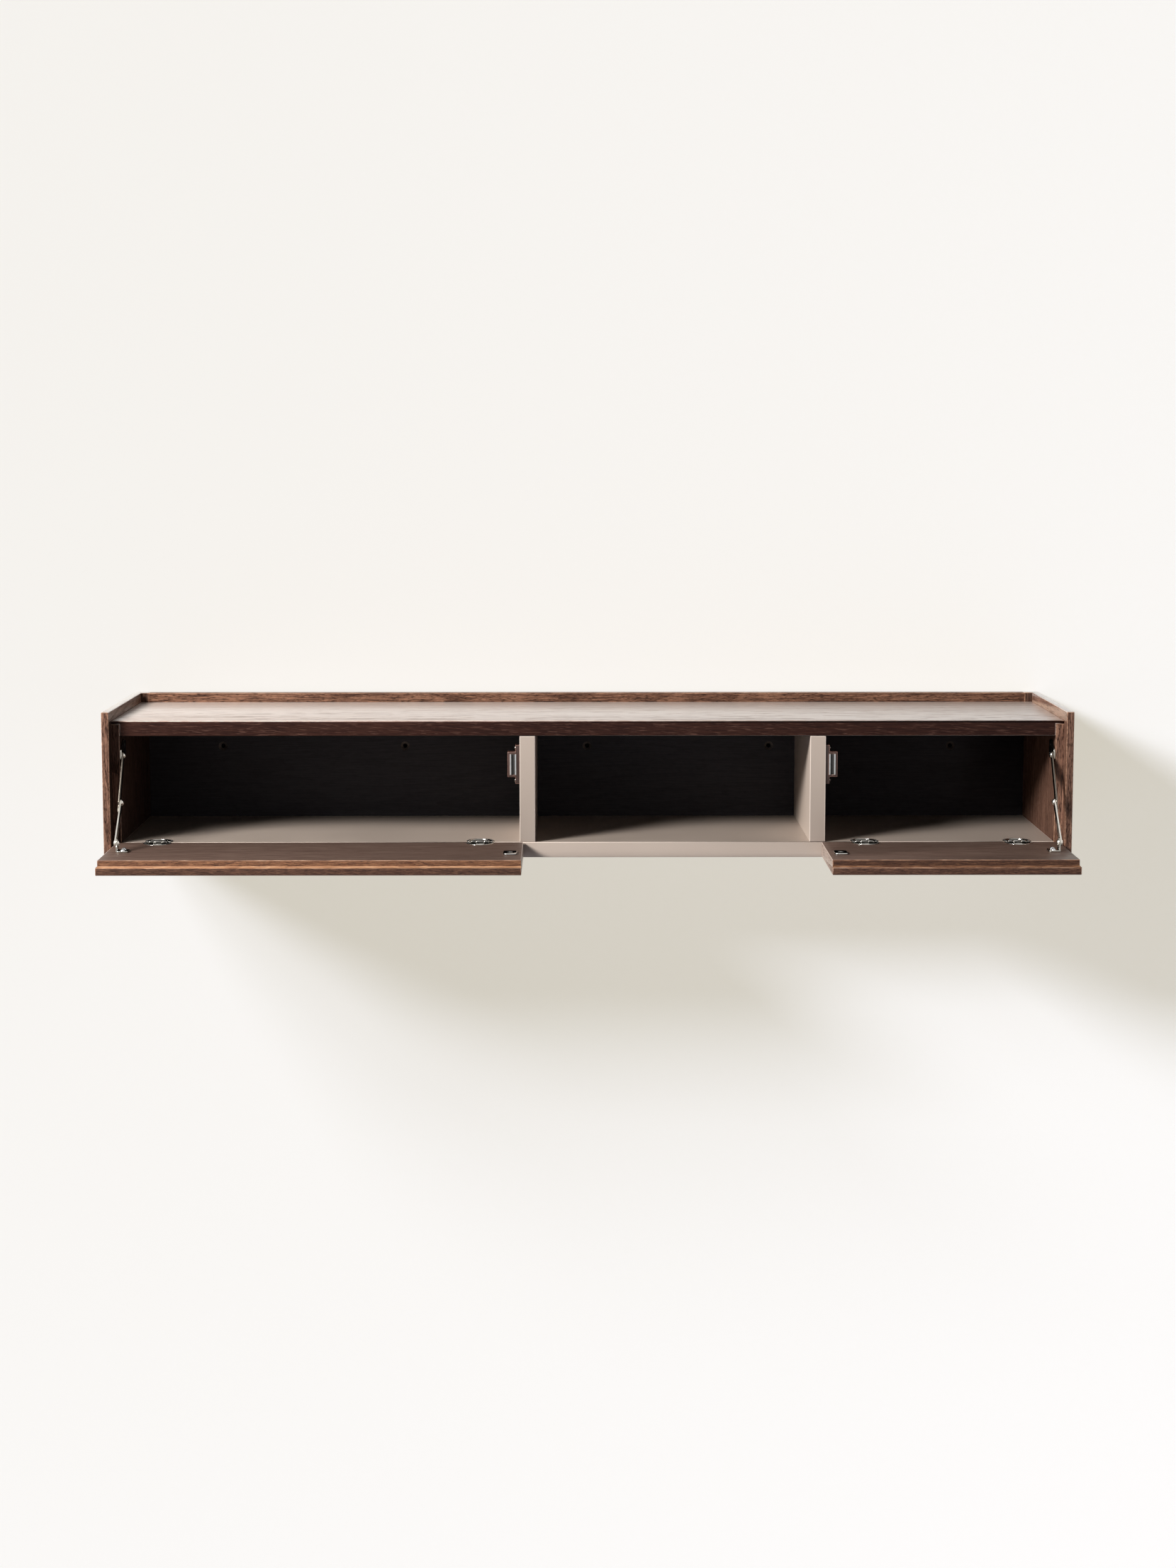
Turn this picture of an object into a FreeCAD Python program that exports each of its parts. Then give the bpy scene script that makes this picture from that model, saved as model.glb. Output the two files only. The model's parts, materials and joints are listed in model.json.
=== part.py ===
import FreeCAD, Part
import math
import os
import re
import Sketcher

# A wall console: a low open case that hangs on a wall, with a bay in the middle and a bottom-hinged
# flap in front of the bay at each end. Both flaps are modelled open, level with the case's floor.
#
# The frame: X to the right as one faces the console, Y into the wall, Z up. The origin lies on the
# wall plane, in the middle of the row of wall fixing holes. All sizes are millimetres.

DRIVING_SIZES = {
    # The case
    "case_width": 1118,
    "case_height": 171,
    "case_depth": 260,
    "board": 18,
    "side_lip": 8.5,
    "top_drop": 11.5,
    "top_tongue": 4,
    "back_thickness": 12,
    "left_bay": 461.7,
    "right_bay": 266,
    # The row of holes for the wall screws
    "fixing_height": 105,
    "fixing_spacing": 225,
    "fixing_hole_radius": 2.75,
    "fixing_sink_radius": 5.5,
    # The flaps
    "flap_thickness": 17,
    "flap_clearance": 1,
    "flap_side_gap": 2,
    "flap_overlap": 4,
    "flap_step": 2,
    "flap_inner_layer": 8.4,
    # The flap hinges
    "hinge_inset": 50,
    "cup_radius": 15,
    "cup_fit": 0.1,
    "cup_rim_radius": 16,
    "cup_rim_height": 0.8,
    "cup_depth": 10.5,
    "cup_wall": 1.8,
    "cup_floor": 1.5,
    "cup_offset": 8,
    "knuckle_radius": 1.9,
    "knuckle_reach": 10.5,
    "flap_knuckle_reach": 4.5,
    "knuckle_gap": 0.2,
    "arm_sink": 0.6,
    "arm_post": 3.5,
    "arm_length": 9,
    "hinge_pin_radius": 1,
    "running_fit": 0.05,
    "cup_screw_side": 5.5,
    "cup_screw_back": 14.5,
    # The folding stays
    "bracket_plate": 2,
    "link_thickness": 1.8,
    "layer_gap": 0.2,
    "upper_pivot_back": 6.5,
    "flap_pivot_ahead": 75,
    "flap_pivot_height": 10,
    "stay_bend": 8,
    "upper_link_half": 5,
    "lower_link_half": 4.2,
    "stop_tab_length": 13,
    "stop_tab_half": 2.6,
    "rivet_radius": 2,
    "rivet_head_radius": 3.6,
    "rivet_head_height": 2.3,
    "rivet_tail_radius": 3,
    "rivet_tail": 0.8,
    "bracket_top_gap": 6.5,
    "bracket_margin": 6,
    "bracket_corner": 4.5,
    "bracket_top_edge": 18,
    "bracket_screw_back": 22,
    "bracket_screw_rise": 10,
    "bracket_screw_stagger": 4,
    "flap_bracket_width": 19,
    "flap_bracket_reach": 12,
    "flap_bracket_corner": 3.5,
    "flap_bracket_screw_pitch": 9,
    # The magnetic catches and their strike plates
    "catch_top_gap": 10.7,
    "catch_flange": 4.8,
    "catch_flange_height": 45,
    "catch_body_height": 29.2,
    "catch_reach": 13.9,
    "catch_depth": 14,
    "catch_wall": 2.5,
    "catch_near_wall": 4,
    "catch_gap": 0.2,
    "pole_plate": 1.6,
    "pole_proud": 1,
    "magnet_sink": 1,
    "magnet_thickness": 4.2,
    "catch_screw_pitch": 37.4,
    "strike_width": 15.5,
    "strike_length": 24,
    "strike_corner": 4.5,
    "strike_thickness": 1.8,
    "strike_offset": 9.5,
    # Screws, with flat or round heads
    "screw_radius": 1.5,
    "screw_head_radius": 3.1,
    "screw_head_depth": 1.4,
    "cup_screw_length": 6.5,
    "plate_screw_length": 13,
    "round_head_height": 2.4,
    "recess_width": 0.7,
    "recess_depth": 0.7,
    "back_screw_radius": 2,
    "back_screw_head_radius": 4,
    "back_screw_head_depth": 2.4,
    "back_screw_length": 40,
    # Dowels
    "dowel_radius": 4,
    "dowel_in_end": 18,
    "dowel_in_face": 11,
    "dowel_fit": 0.05,
    "dowel_from_edge": 40,
}

# Places that follow from the driving sizes. Each is a formula in the names above and in these.
DERIVED_SIZES = {
    "half_width": "case_width / 2",
    "inner_half": "half_width - board",
    "lip_half": "half_width - side_lip",
    "base": "0 - fixing_height",
    "floor": "base + board",
    "lip_top": "base + case_height",
    "top_face": "lip_top - top_drop",
    "ceiling": "top_face - board",
    "shoulder": "top_face - top_tongue",
    "back_face": "0 - back_thickness",
    "front": "0 - case_depth",
    "carcase_front": "front + flap_thickness + flap_clearance",
    "hinge_line": "carcase_front - flap_clearance",
    "flap_root": "hinge_line - flap_clearance",
    "flap_length": "top_face - floor - flap_clearance",
    "flap_tip": "flap_root - flap_length",
    "flap_underside": "floor - flap_thickness",
    "flap_ledge": "floor - flap_inner_layer",
    "flap_end": "lip_half - flap_side_gap",
    "cup_body_radius": "cup_radius - cup_fit",
    "cavity_radius": "cup_radius - cup_wall",
    "cup_bottom": "floor - cup_depth",
    "cavity_bottom": "cup_bottom + cup_floor",
    "upper_pivot_y": "hinge_line + upper_pivot_back",
    "upper_pivot_z": "ceiling - bracket_top_gap - bracket_margin - bracket_screw_rise",
    "flap_pivot_y": "hinge_line - flap_pivot_ahead",
    "flap_pivot_z": "floor + flap_pivot_height",
    "stay_run": "upper_pivot_back + flap_pivot_ahead",
    "stay_rise": "upper_pivot_z - flap_pivot_z",
    "stay_span": "sqrt(stay_run * stay_run + stay_rise * stay_rise)",
    "link_length": "sqrt(stay_span * stay_span / 4 + stay_bend * stay_bend)",
    "knee_y": "(upper_pivot_y + flap_pivot_y) / 2 + stay_bend * stay_rise / stay_span",
    "knee_z": "(upper_pivot_z + flap_pivot_z) / 2 - stay_bend * stay_run / stay_span",
    "upper_layer": "bracket_plate + layer_gap",
    "upper_layer_end": "upper_layer + link_thickness",
    "lower_layer": "upper_layer_end + layer_gap",
    "lower_layer_end": "lower_layer + link_thickness",
    "ear_layer": "lower_layer_end + layer_gap",
    "ear_layer_end": "ear_layer + link_thickness",
    "rivet_hole_radius": "rivet_radius + running_fit",
    "catch_z": "ceiling - catch_top_gap - catch_flange_height / 2",
    "strike_y": "hinge_line - (catch_z - floor)",
    "pole_front": "hinge_line + strike_thickness + catch_gap",
    "catch_front": "pole_front + pole_proud",
    "dowel_hole_radius": "dowel_radius + dowel_fit",
}

LEFT = -1
RIGHT = 1
SIDES = {"left": LEFT, "right": RIGHT}
ALONG = {
    "x": FreeCAD.Rotation(FreeCAD.Vector(0, 1, 0), 90),
    "y": FreeCAD.Rotation(FreeCAD.Vector(1, 0, 0), -90),
    "z": FreeCAD.Rotation(),
}
AGAINST = {
    "x": FreeCAD.Rotation(FreeCAD.Vector(0, 1, 0), -90),
    "y": FreeCAD.Rotation(FreeCAD.Vector(1, 0, 0), 90),
    "z": FreeCAD.Rotation(FreeCAD.Vector(1, 0, 0), 180),
}

document = FreeCAD.newDocument("WallConsole")
sheet = document.addObject("Spreadsheet::Sheet", "Sizes")
for row, (alias, size) in enumerate(DRIVING_SIZES.items(), start=1):
    sheet.set(f"A{row}", alias)
    sheet.set(f"B{row}", str(size))
    sheet.setAlias(f"B{row}", alias)
document.recompute()

nodes = []


# Formulas

def formula(text):
    """Writes a formula out: a derived name becomes its own formula, a driving name its cell."""
    def written_out(match):
        word = match.group()
        if word in DERIVED_SIZES:
            return "(" + formula(DERIVED_SIZES[word]) + ")"
        return "Sizes." + word if word in DRIVING_SIZES else word
    return re.sub(r"[a-z][a-z_0-9]*", written_out, str(text))


def bind(thing, name, text):
    thing.setExpression(name, formula(text))


def number(text):
    found = sheet.evalExpression(formula(text))
    return float(getattr(found, "Value", found))


def span(side, near, far):
    """The low and high X of a stretch from near to far, counted outwards from the middle plane."""
    if side == RIGHT:
        return near, far
    return f"0 - ({far})", f"0 - ({near})"


def outwards(side, distance):
    return f"{side} * ({distance})"


def stretch(start, sense, near, far):
    """The low and high ends of a stretch from near to far beyond start, along or against an axis."""
    if sense > 0:
        return f"{start} + ({near})", f"{start} + ({far})"
    return f"{start} - ({far})", f"{start} - ({near})"


# Primitives and booleans

def box(name, x, y, z):
    """A block, from its low and high ends along each axis."""
    block = document.addObject("Part::Box", name)
    for axis, length, (low, high) in zip("xyz", ("Length", "Width", "Height"), (x, y, z)):
        bind(block, length, f"({high}) - ({low})")
        bind(block, f"Placement.Base.{axis}", low)
    return block


def place(thing, axis, start, centre, turns=ALONG):
    """Stands a turned piece on its axis. centre holds the other two coordinates, in X, Y, Z order."""
    thing.Placement = FreeCAD.Placement(FreeCAD.Vector(), turns[axis])
    others = [letter for letter in "xyz" if letter != axis]
    bind(thing, f"Placement.Base.{axis}", start)
    for letter, text in zip(others, centre):
        bind(thing, f"Placement.Base.{letter}", text)


def rod(name, axis, ends, centre, radius):
    cylinder = document.addObject("Part::Cylinder", name)
    bind(cylinder, "Radius", radius)
    bind(cylinder, "Height", f"({ends[1]}) - ({ends[0]})")
    place(cylinder, axis, ends[0], centre)
    return cylinder


def cone(name, axis, ends, centre, low_radius, high_radius):
    taper = document.addObject("Part::Cone", name)
    bind(taper, "Radius1", low_radius)
    bind(taper, "Radius2", high_radius)
    bind(taper, "Height", f"({ends[1]}) - ({ends[0]})")
    place(taper, axis, ends[0], centre)
    return taper


def sink(name, axis, sense, face, centre, wide, narrow, depth):
    """A taper that is wide at the face and narrows along the axis, or against it if sense is -1."""
    ends = stretch(face, sense, "0", depth)
    radii = (wide, narrow) if sense > 0 else (narrow, wide)
    return cone(name, axis, ends, centre, *radii)


def dome(name, axis, sense, face, centre, radius, height):
    """A round head: a cap of a ball that rises from a face, along the axis or against it."""
    ball = f"((({radius}) * ({radius}) + ({height}) * ({height})) / (2 * ({height})))"
    cap = document.addObject("Part::Sphere", name)
    bind(cap, "Radius", ball)
    bind(cap, "Angle1", f"asin(({ball} - ({height})) / {ball})")
    middle = f"{face} - {sense} * ({ball} - ({height}))"
    place(cap, axis, middle, centre, ALONG if sense > 0 else AGAINST)
    return cap


def join(name, pieces):
    joined = document.addObject("Part::MultiFuse", name)
    joined.Shapes = pieces
    joined.Refine = True
    return joined


def cut(name, piece, tools):
    cutter = tools[0] if len(tools) == 1 else join(f"{name}_tools", tools)
    remainder = document.addObject("Part::Cut", name)
    remainder.Base = piece
    remainder.Tool = cutter
    return remainder


def group(name, pieces):
    bundle = document.addObject("Part::Compound", name)
    bundle.Links = pieces
    return bundle


def node(label, thing):
    """Names a finished sub-part and puts it on the list of files to write."""
    thing.Label = label
    nodes.append(thing)


# Bodies and sketches

def new_body(name):
    return document.addObject("PartDesign::Body", name)


def new_sketch(body, name, plane, offset="0"):
    """A sketch on one of the body's own origin planes, moved along that plane's normal."""
    features = {feature.Role: feature for feature in body.Origin.OriginFeatures}
    sketch = body.newObject("Sketcher::SketchObject", name)
    sketch.AttachmentSupport = [(features[plane], "")]
    sketch.MapMode = "FlatFace"
    bind(sketch, "AttachmentOffset.Base.z", offset)
    return sketch


def hold(sketch, kind, places, size, text):
    """Adds a constraint with a size and binds that size to its formula."""
    index = sketch.addConstraint(Sketcher.Constraint(kind, *places, size))
    name = f"size_{index}"
    sketch.renameConstraint(index, name)
    bind(sketch, f"Constraints.{name}", text)


def pin_point(sketch, curve, end, point):
    for kind, text in zip(("DistanceX", "DistanceY"), point):
        hold(sketch, kind, (-1, 1, curve, end), number(text), text)


def outline(sketch, points):
    """A closed outline of straight lines through points, each held by its two formulas."""
    corners = [FreeCAD.Vector(number(x), number(y), 0) for x, y in points]
    first = sketch.GeometryCount
    count = len(points)
    for index in range(count):
        sketch.addGeometry(Part.LineSegment(corners[index], corners[(index + 1) % count]), False)
    for index in range(count):
        following = first + (index + 1) % count
        sketch.addConstraint(Sketcher.Constraint("Coincident", first + index, 2, following, 1))
        pin_point(sketch, first + index, 1, points[index])


def bar_outline(sketch, length, half):
    """A bar with round ends, from a pivot at the sketch's origin to another along its first axis."""
    reach = number(length)
    radius = number(half)
    up = FreeCAD.Vector(0, radius, 0)
    away = FreeCAD.Vector(reach, 0, 0)
    quarter = math.pi / 2
    flat = FreeCAD.Vector(0, 0, 1)
    lower = sketch.addGeometry(Part.LineSegment(-up, away - up), False)
    far_arc = Part.ArcOfCircle(Part.Circle(away, flat, radius), -quarter, quarter)
    far_end = sketch.addGeometry(far_arc, False)
    upper = sketch.addGeometry(Part.LineSegment(away + up, up), False)
    near_arc = Part.ArcOfCircle(Part.Circle(FreeCAD.Vector(), flat, radius), quarter, 3 * quarter)
    near_end = sketch.addGeometry(near_arc, False)
    around = [lower, far_end, upper, near_end]
    for index, curve in enumerate(around):
        following = around[(index + 1) % len(around)]
        sketch.addConstraint(Sketcher.Constraint("Tangent", curve, 2, following, 1))
    pin_point(sketch, near_end, 3, ("0", "0"))
    pin_point(sketch, far_end, 3, (length, "0"))
    for arc in (near_end, far_end):
        hold(sketch, "Radius", (arc,), radius, half)


def pad(body, sketch, length):
    feature = body.newObject("PartDesign::Pad", f"{sketch.Name}_pad")
    feature.Profile = sketch
    bind(feature, "Length", length)
    return feature


def round_corners(body, plate, axis, radius):
    """Rounds the plate's corners, which are its edges along the axis."""
    document.recompute()
    corners = []
    for index, edge in enumerate(plate.Shape.Edges, start=1):
        direction = edge.tangentAt(edge.FirstParameter)
        along = abs(getattr(direction, axis))
        if along > sum(abs(getattr(direction, letter)) for letter in "xyz") - along:
            corners.append(f"Edge{index}")
    rounding = body.newObject("PartDesign::Fillet", f"{plate.Name}_corners")
    rounding.Base = (plate, corners)
    bind(rounding, "Radius", radius)


def rounded_plate(name, x, y, z, corner):
    """A level plate with rounded corners, from its low and high ends along each axis."""
    body = new_body(f"{name}_body")
    sketch = new_sketch(body, f"{name}_sketch", "XY_Plane", z[0])
    outline(sketch, [(x[0], y[0]), (x[1], y[0]), (x[1], y[1]), (x[0], y[1])])
    plate = pad(body, sketch, f"({z[1]}) - ({z[0]})")
    round_corners(body, plate, "z", corner)
    return body


# Screws

def cross_recess(name, axis, sense, face, centre, length):
    """The two crossed slots in a screw's head."""
    others = [letter for letter in "xyz" if letter != axis]
    deep = stretch(face, sense, "0", "recess_depth")
    slots = []
    for long_letter in others:
        ends = {axis: deep}
        for letter, middle in zip(others, centre):
            half = f"({length}) / 2" if letter == long_letter else "recess_width / 2"
            ends[letter] = (f"{middle} - {half}", f"{middle} + {half}")
        slots.append(box(f"{name}_slot_{long_letter}", ends["x"], ends["y"], ends["z"]))
    return slots


def flat_screw(name, axis, sense, face, centre, length, size="screw"):
    """A countersunk screw whose head is level with a face and whose shank goes on from there."""
    head_radius = f"{size}_head_radius"
    head = sink(f"{name}_head", axis, sense, face, centre, head_radius, f"{size}_radius",
                f"{size}_head_depth")
    shank = rod(f"{name}_shank", axis, stretch(face, sense, f"{size}_head_depth", length), centre,
                f"{size}_radius")
    blank = join(f"{name}_blank", [head, shank])
    return cut(name, blank, cross_recess(name, axis, sense, face, centre, head_radius))


def flat_screw_hole(name, axis, sense, face, centre, length, size="screw"):
    """The countersunk hole that a flat screw fills."""
    head = sink(f"{name}_sink", axis, sense, face, centre, f"{size}_head_radius", f"{size}_radius",
                f"{size}_head_depth")
    bore = rod(f"{name}_bore", axis, stretch(face, sense, f"{size}_head_depth", length), centre,
               f"{size}_radius")
    return [head, bore]


def round_screw(name, axis, sense, seat, centre):
    """A screw whose round head stands on its seat and whose shank goes on along the axis."""
    shank = rod(f"{name}_shank", axis, stretch(seat, sense, "0", "plate_screw_length"), centre,
                "screw_radius")
    head = dome(f"{name}_head", axis, -sense, seat, centre, "screw_head_radius",
                "round_head_height")
    crown = f"{seat} - {sense} * round_head_height"
    slots = cross_recess(name, axis, sense, crown, centre, "screw_head_radius")
    return cut(name, join(f"{name}_blank", [shank, head]), slots)


def round_screw_hole(name, axis, sense, seat, centre):
    return rod(name, axis, stretch(seat, sense, "0", "plate_screw_length"), centre, "screw_radius")


# Joinery, worked out first because each board carries the holes of its dowels

def dowel_rows():
    """Each dowel: its name, its axis, its ends, its centre and the boards that it joins."""
    depths = {
        "front": "carcase_front + dowel_from_edge",
        "middle": "(carcase_front + back_face) / 2",
        "rear": "back_face - dowel_from_edge",
    }
    rows = []
    for place_name, y in depths.items():
        for side_name, side in SIDES.items():
            ends = span(side, "inner_half - dowel_in_end", "inner_half + dowel_in_face")
            floor_z = "base + board / 2"
            top_z = "(ceiling + shoulder) / 2"
            for board_name, z in (("bottom_panel", floor_z), ("top_panel", top_z)):
                name = f"dowel_{board_name}_{side_name}_{place_name}"
                boards = (board_name, f"side_panel_{side_name}")
                rows.append((name, "x", ends, (y, z), boards))
            middle = outwards(side, f"inner_half - {side_name}_bay - board / 2")
            stands = {
                "bottom_panel": ("floor - dowel_in_face", "floor + dowel_in_end"),
                "top_panel": ("ceiling - dowel_in_end", "ceiling + dowel_in_face"),
            }
            for board_name, ends in stands.items():
                name = f"dowel_{board_name}_divider_{side_name}_{place_name}"
                boards = (board_name, f"divider_{side_name}")
                rows.append((name, "z", ends, (middle, y), boards))
    return rows


def dowel_holes(board_name):
    holes = []
    for name, axis, ends, centre, boards in dowel_rows():
        if board_name in boards:
            holes.append(rod(f"{board_name}_{name}_hole", axis, ends, centre, "dowel_hole_radius"))
    return holes


def fixing_places():
    """The X of each hole in the row along the back board."""
    return [f"{step} * fixing_spacing" for step in (-2, -1, 0, 1, 2)]


def back_screw_places():
    """The X and Z of each screw that holds the back board to the top and bottom panels."""
    heights = ("base + board / 2", "ceiling + board / 2")
    return [(x, z) for z in heights for x in fixing_places()]


def back_screw_holes(name, height):
    holes = []
    for index, (x, z) in enumerate(back_screw_places()):
        if height in (None, z):
            holes += flat_screw_hole(f"{name}_back_{index}", "y", -1, "0", (x, z),
                                     "back_screw_length", "back_screw")
    return holes


def hinge_places(side_name):
    """How far out from the middle plane each of a flap's two hinges stands."""
    root = f"inner_half - {side_name}_bay - flap_overlap"
    return {"inner": f"{root} + hinge_inset", "outer": "flap_end - hinge_inset"}


def cup_screw_places(side, distance, sense):
    """The X and Y of the two screws in a hinge cup, behind the hinge line or ahead of it."""
    y = f"hinge_line + {sense} * cup_screw_back"
    return [(f"{outwards(side, distance)} + {hand} * cup_screw_side", y) for hand in (-1, 1)]


def cup_pockets(name, side, side_name, sense):
    """The round pocket for each hinge cup, and the pilot holes under it."""
    tools = []
    for place_name, distance in hinge_places(side_name).items():
        label = f"{name}_{place_name}"
        centre = (outwards(side, distance), f"hinge_line + {sense} * cup_offset")
        tools.append(rod(f"{label}_pocket", "z", ("cup_bottom", "floor + cup_depth"), centre,
                         "cup_radius"))
        for index, spot in enumerate(cup_screw_places(side, distance, sense)):
            tools += flat_screw_hole(f"{label}_pilot_{index}", "z", -1, "cavity_bottom", spot,
                                     "cup_screw_length")
    return tools


# The case

def make_side_panel(side_name, side):
    """A board whose inner half stops short at the front, for the flap, and at the top, for the top
    panel's tongue. At the back it keeps its full thickness up to the top."""
    name = f"side_panel_{side_name}"
    blank = box(f"{name}_blank", span(side, "inner_half", "half_width"), ("front", "0"),
                ("base", "lip_top"))
    front_rebate = box(f"{name}_front_rebate", span(side, "inner_half", "lip_half"),
                       ("front", "carcase_front"), ("base", "lip_top"))
    top_rebate = box(f"{name}_top_rebate", span(side, "inner_half", "lip_half"),
                     ("front", "back_face"), ("shoulder", "lip_top"))
    tools = [front_rebate, top_rebate] + dowel_holes(name)
    for index, (y, z) in enumerate(stay_screw_places()):
        tools += flat_screw_hole(f"{name}_pilot_{index}", "x", side,
                                 outwards(side, "inner_half - bracket_plate"), (y, z),
                                 "plate_screw_length")
    node(name, cut(name, blank, tools))


def make_top_panel():
    """The top, whose thin end tongues lie on the sides' shoulders."""
    slab = box("top_slab", ("0 - inner_half", "inner_half"), ("carcase_front", "back_face"),
               ("ceiling", "top_face"))
    tongues = box("top_tongues", ("0 - lip_half", "lip_half"), ("carcase_front", "back_face"),
                  ("shoulder", "top_face"))
    blank = join("top_blank", [slab, tongues])
    tools = dowel_holes("top_panel") + back_screw_holes("top", "ceiling + board / 2")
    node("top_panel", cut("top_panel", blank, tools))


def make_bottom_panel():
    blank = box("bottom_blank", ("0 - inner_half", "inner_half"), ("carcase_front", "back_face"),
                ("base", "floor"))
    tools = dowel_holes("bottom_panel") + back_screw_holes("bottom", "base + board / 2")
    for side_name, side in SIDES.items():
        tools += cup_pockets(f"bottom_{side_name}", side, side_name, 1)
    node("bottom_panel", cut("bottom_panel", blank, tools))


def make_back_board():
    """The board against the wall. It stands up behind the top as the rear lip, and its row of
    countersunk holes takes the wall screws from inside the bays."""
    blank = box("back_blank", ("0 - inner_half", "inner_half"), ("back_face", "0"),
                ("base", "lip_top"))
    tools = back_screw_holes("back", None)
    for index, x in enumerate(fixing_places()):
        name = f"fixing_hole_{index}"
        tools.append(rod(f"{name}_bore", "y", ("back_face", "0"), (x, "0"), "fixing_hole_radius"))
        tools.append(sink(f"{name}_sink", "y", 1, "back_face", (x, "0"), "fixing_sink_radius",
                          "fixing_hole_radius", "fixing_sink_radius - fixing_hole_radius"))
    node("back_board", cut("back_board", blank, tools))


def make_divider(side_name, side):
    name = f"divider_{side_name}"
    face = f"inner_half - {side_name}_bay"
    blank = box(f"{name}_blank", span(side, f"{face} - board", face),
                ("carcase_front", "back_face"), ("floor", "ceiling"))
    tools = dowel_holes(name)
    seat = outwards(side, f"{face} + catch_flange")
    for index, centre in enumerate(catch_screw_places()):
        tools.append(round_screw_hole(f"{name}_pilot_{index}", "x", -side, seat, centre))
    node(name, cut(name, blank, tools))


def make_joinery():
    dowels = []
    for name, axis, ends, centre, boards in dowel_rows():
        dowels.append(rod(name, axis, ends, centre, "dowel_radius"))
    node("case_dowels", group("case_dowels", dowels))
    screws = []
    for index, (x, z) in enumerate(back_screw_places()):
        screws.append(flat_screw(f"back_screw_{index}", "y", -1, "0", (x, z),
                                 "back_screw_length", "back_screw"))
    node("back_board_screws", group("back_board_screws", screws))


# The flaps

def make_flap(side_name, side):
    """A flap lying open. Its show layer, underneath here, stands proud of its inner layer along the
    free edge and the outer end, and the step between the two is a cove."""
    name = f"flap_{side_name}"
    root = f"inner_half - {side_name}_bay - flap_overlap"
    blank = box(f"{name}_blank", span(side, root, "flap_end"), ("flap_tip", "flap_root"),
                ("flap_underside", "floor"))
    cove_z = "flap_ledge + flap_step"
    cove_end = outwards(side, "flap_end")
    tools = [
        box(f"{name}_tip_step", span(side, root, "flap_end"),
            ("flap_tip", "flap_tip + flap_step"), (cove_z, "floor")),
        rod(f"{name}_tip_cove", "x", span(side, root, "flap_end"), ("flap_tip", cove_z),
            "flap_step"),
        box(f"{name}_end_step", span(side, "flap_end - flap_step", "flap_end"),
            ("flap_tip", "flap_root"), (cove_z, "floor")),
        rod(f"{name}_end_cove", "y", ("flap_tip", "flap_root"), (cove_end, cove_z), "flap_step"),
    ]
    tools += cup_pockets(name, side, side_name, -1)
    for index, spot in enumerate(flap_bracket_screw_places(side)):
        tools.append(round_screw_hole(f"{name}_stay_pilot_{index}", "z", -1,
                                      "floor + bracket_plate", spot))
    tools += flat_screw_hole(f"{name}_strike_pilot", "z", -1, "floor + strike_thickness",
                             strike_place(side_name, side), "plate_screw_length")
    node(name, cut(name, blank, tools))


# The flap hinges

def make_cup(name, side, distance, sense, arm_spans):
    """Half a flush hinge: a cup with a raised rim, cut off level with its board's edge, with arms
    that rise from its floor and end in knuckles on the hinge line."""
    x = outwards(side, distance)
    centre = (x, f"hinge_line + {sense} * cup_offset")
    shell = join(f"{name}_shell", [
        rod(f"{name}_wall", "z", ("cup_bottom", "floor"), centre, "cup_body_radius"),
        rod(f"{name}_rim", "z", ("floor", "floor + cup_rim_height"), centre, "cup_rim_radius"),
    ])
    cavity = rod(f"{name}_cavity", "z", ("cavity_bottom", "floor + cup_depth"), centre,
                 "cavity_radius")
    edge = stretch("hinge_line", sense, "0 - 2 * cup_radius", "flap_clearance")
    beyond = box(f"{name}_beyond", (f"{x} - cup_rim_radius", f"{x} + cup_rim_radius"), edge,
                 ("cup_bottom", "floor + cup_rim_height"))
    tools = [cavity, beyond]
    for index, spot in enumerate(cup_screw_places(side, distance, sense)):
        tools += flat_screw_hole(f"{name}_hole_{index}", "z", -1, "cavity_bottom", spot,
                                 "cup_screw_length")
    pieces = [cut(f"{name}_bowl", shell, tools)]
    for index, (low, high) in enumerate(arm_spans):
        across = (f"{x} + ({low})", f"{x} + ({high})")
        arm = box(f"{name}_arm_{index}", across, stretch("hinge_line", sense, "0", "arm_length"),
                  ("floor - knuckle_radius", "floor - arm_sink"))
        post = box(f"{name}_post_{index}", across,
                   stretch("hinge_line", sense, "arm_length - arm_post", "arm_length"),
                   ("cavity_bottom - cup_floor / 2", "floor - arm_sink"))
        knuckle = rod(f"{name}_knuckle_{index}", "x", across, ("hinge_line", "floor"),
                      "knuckle_radius")
        pieces += [arm, post, knuckle]
    bore = "hinge_pin_radius" if sense > 0 else "hinge_pin_radius + running_fit"
    bore_ends = (f"{x} - knuckle_reach", f"{x} + knuckle_reach")
    tunnel = rod(f"{name}_bore", "x", bore_ends, ("hinge_line", "floor"), bore)
    return cut(name, join(f"{name}_casting", pieces), [tunnel])


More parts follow.
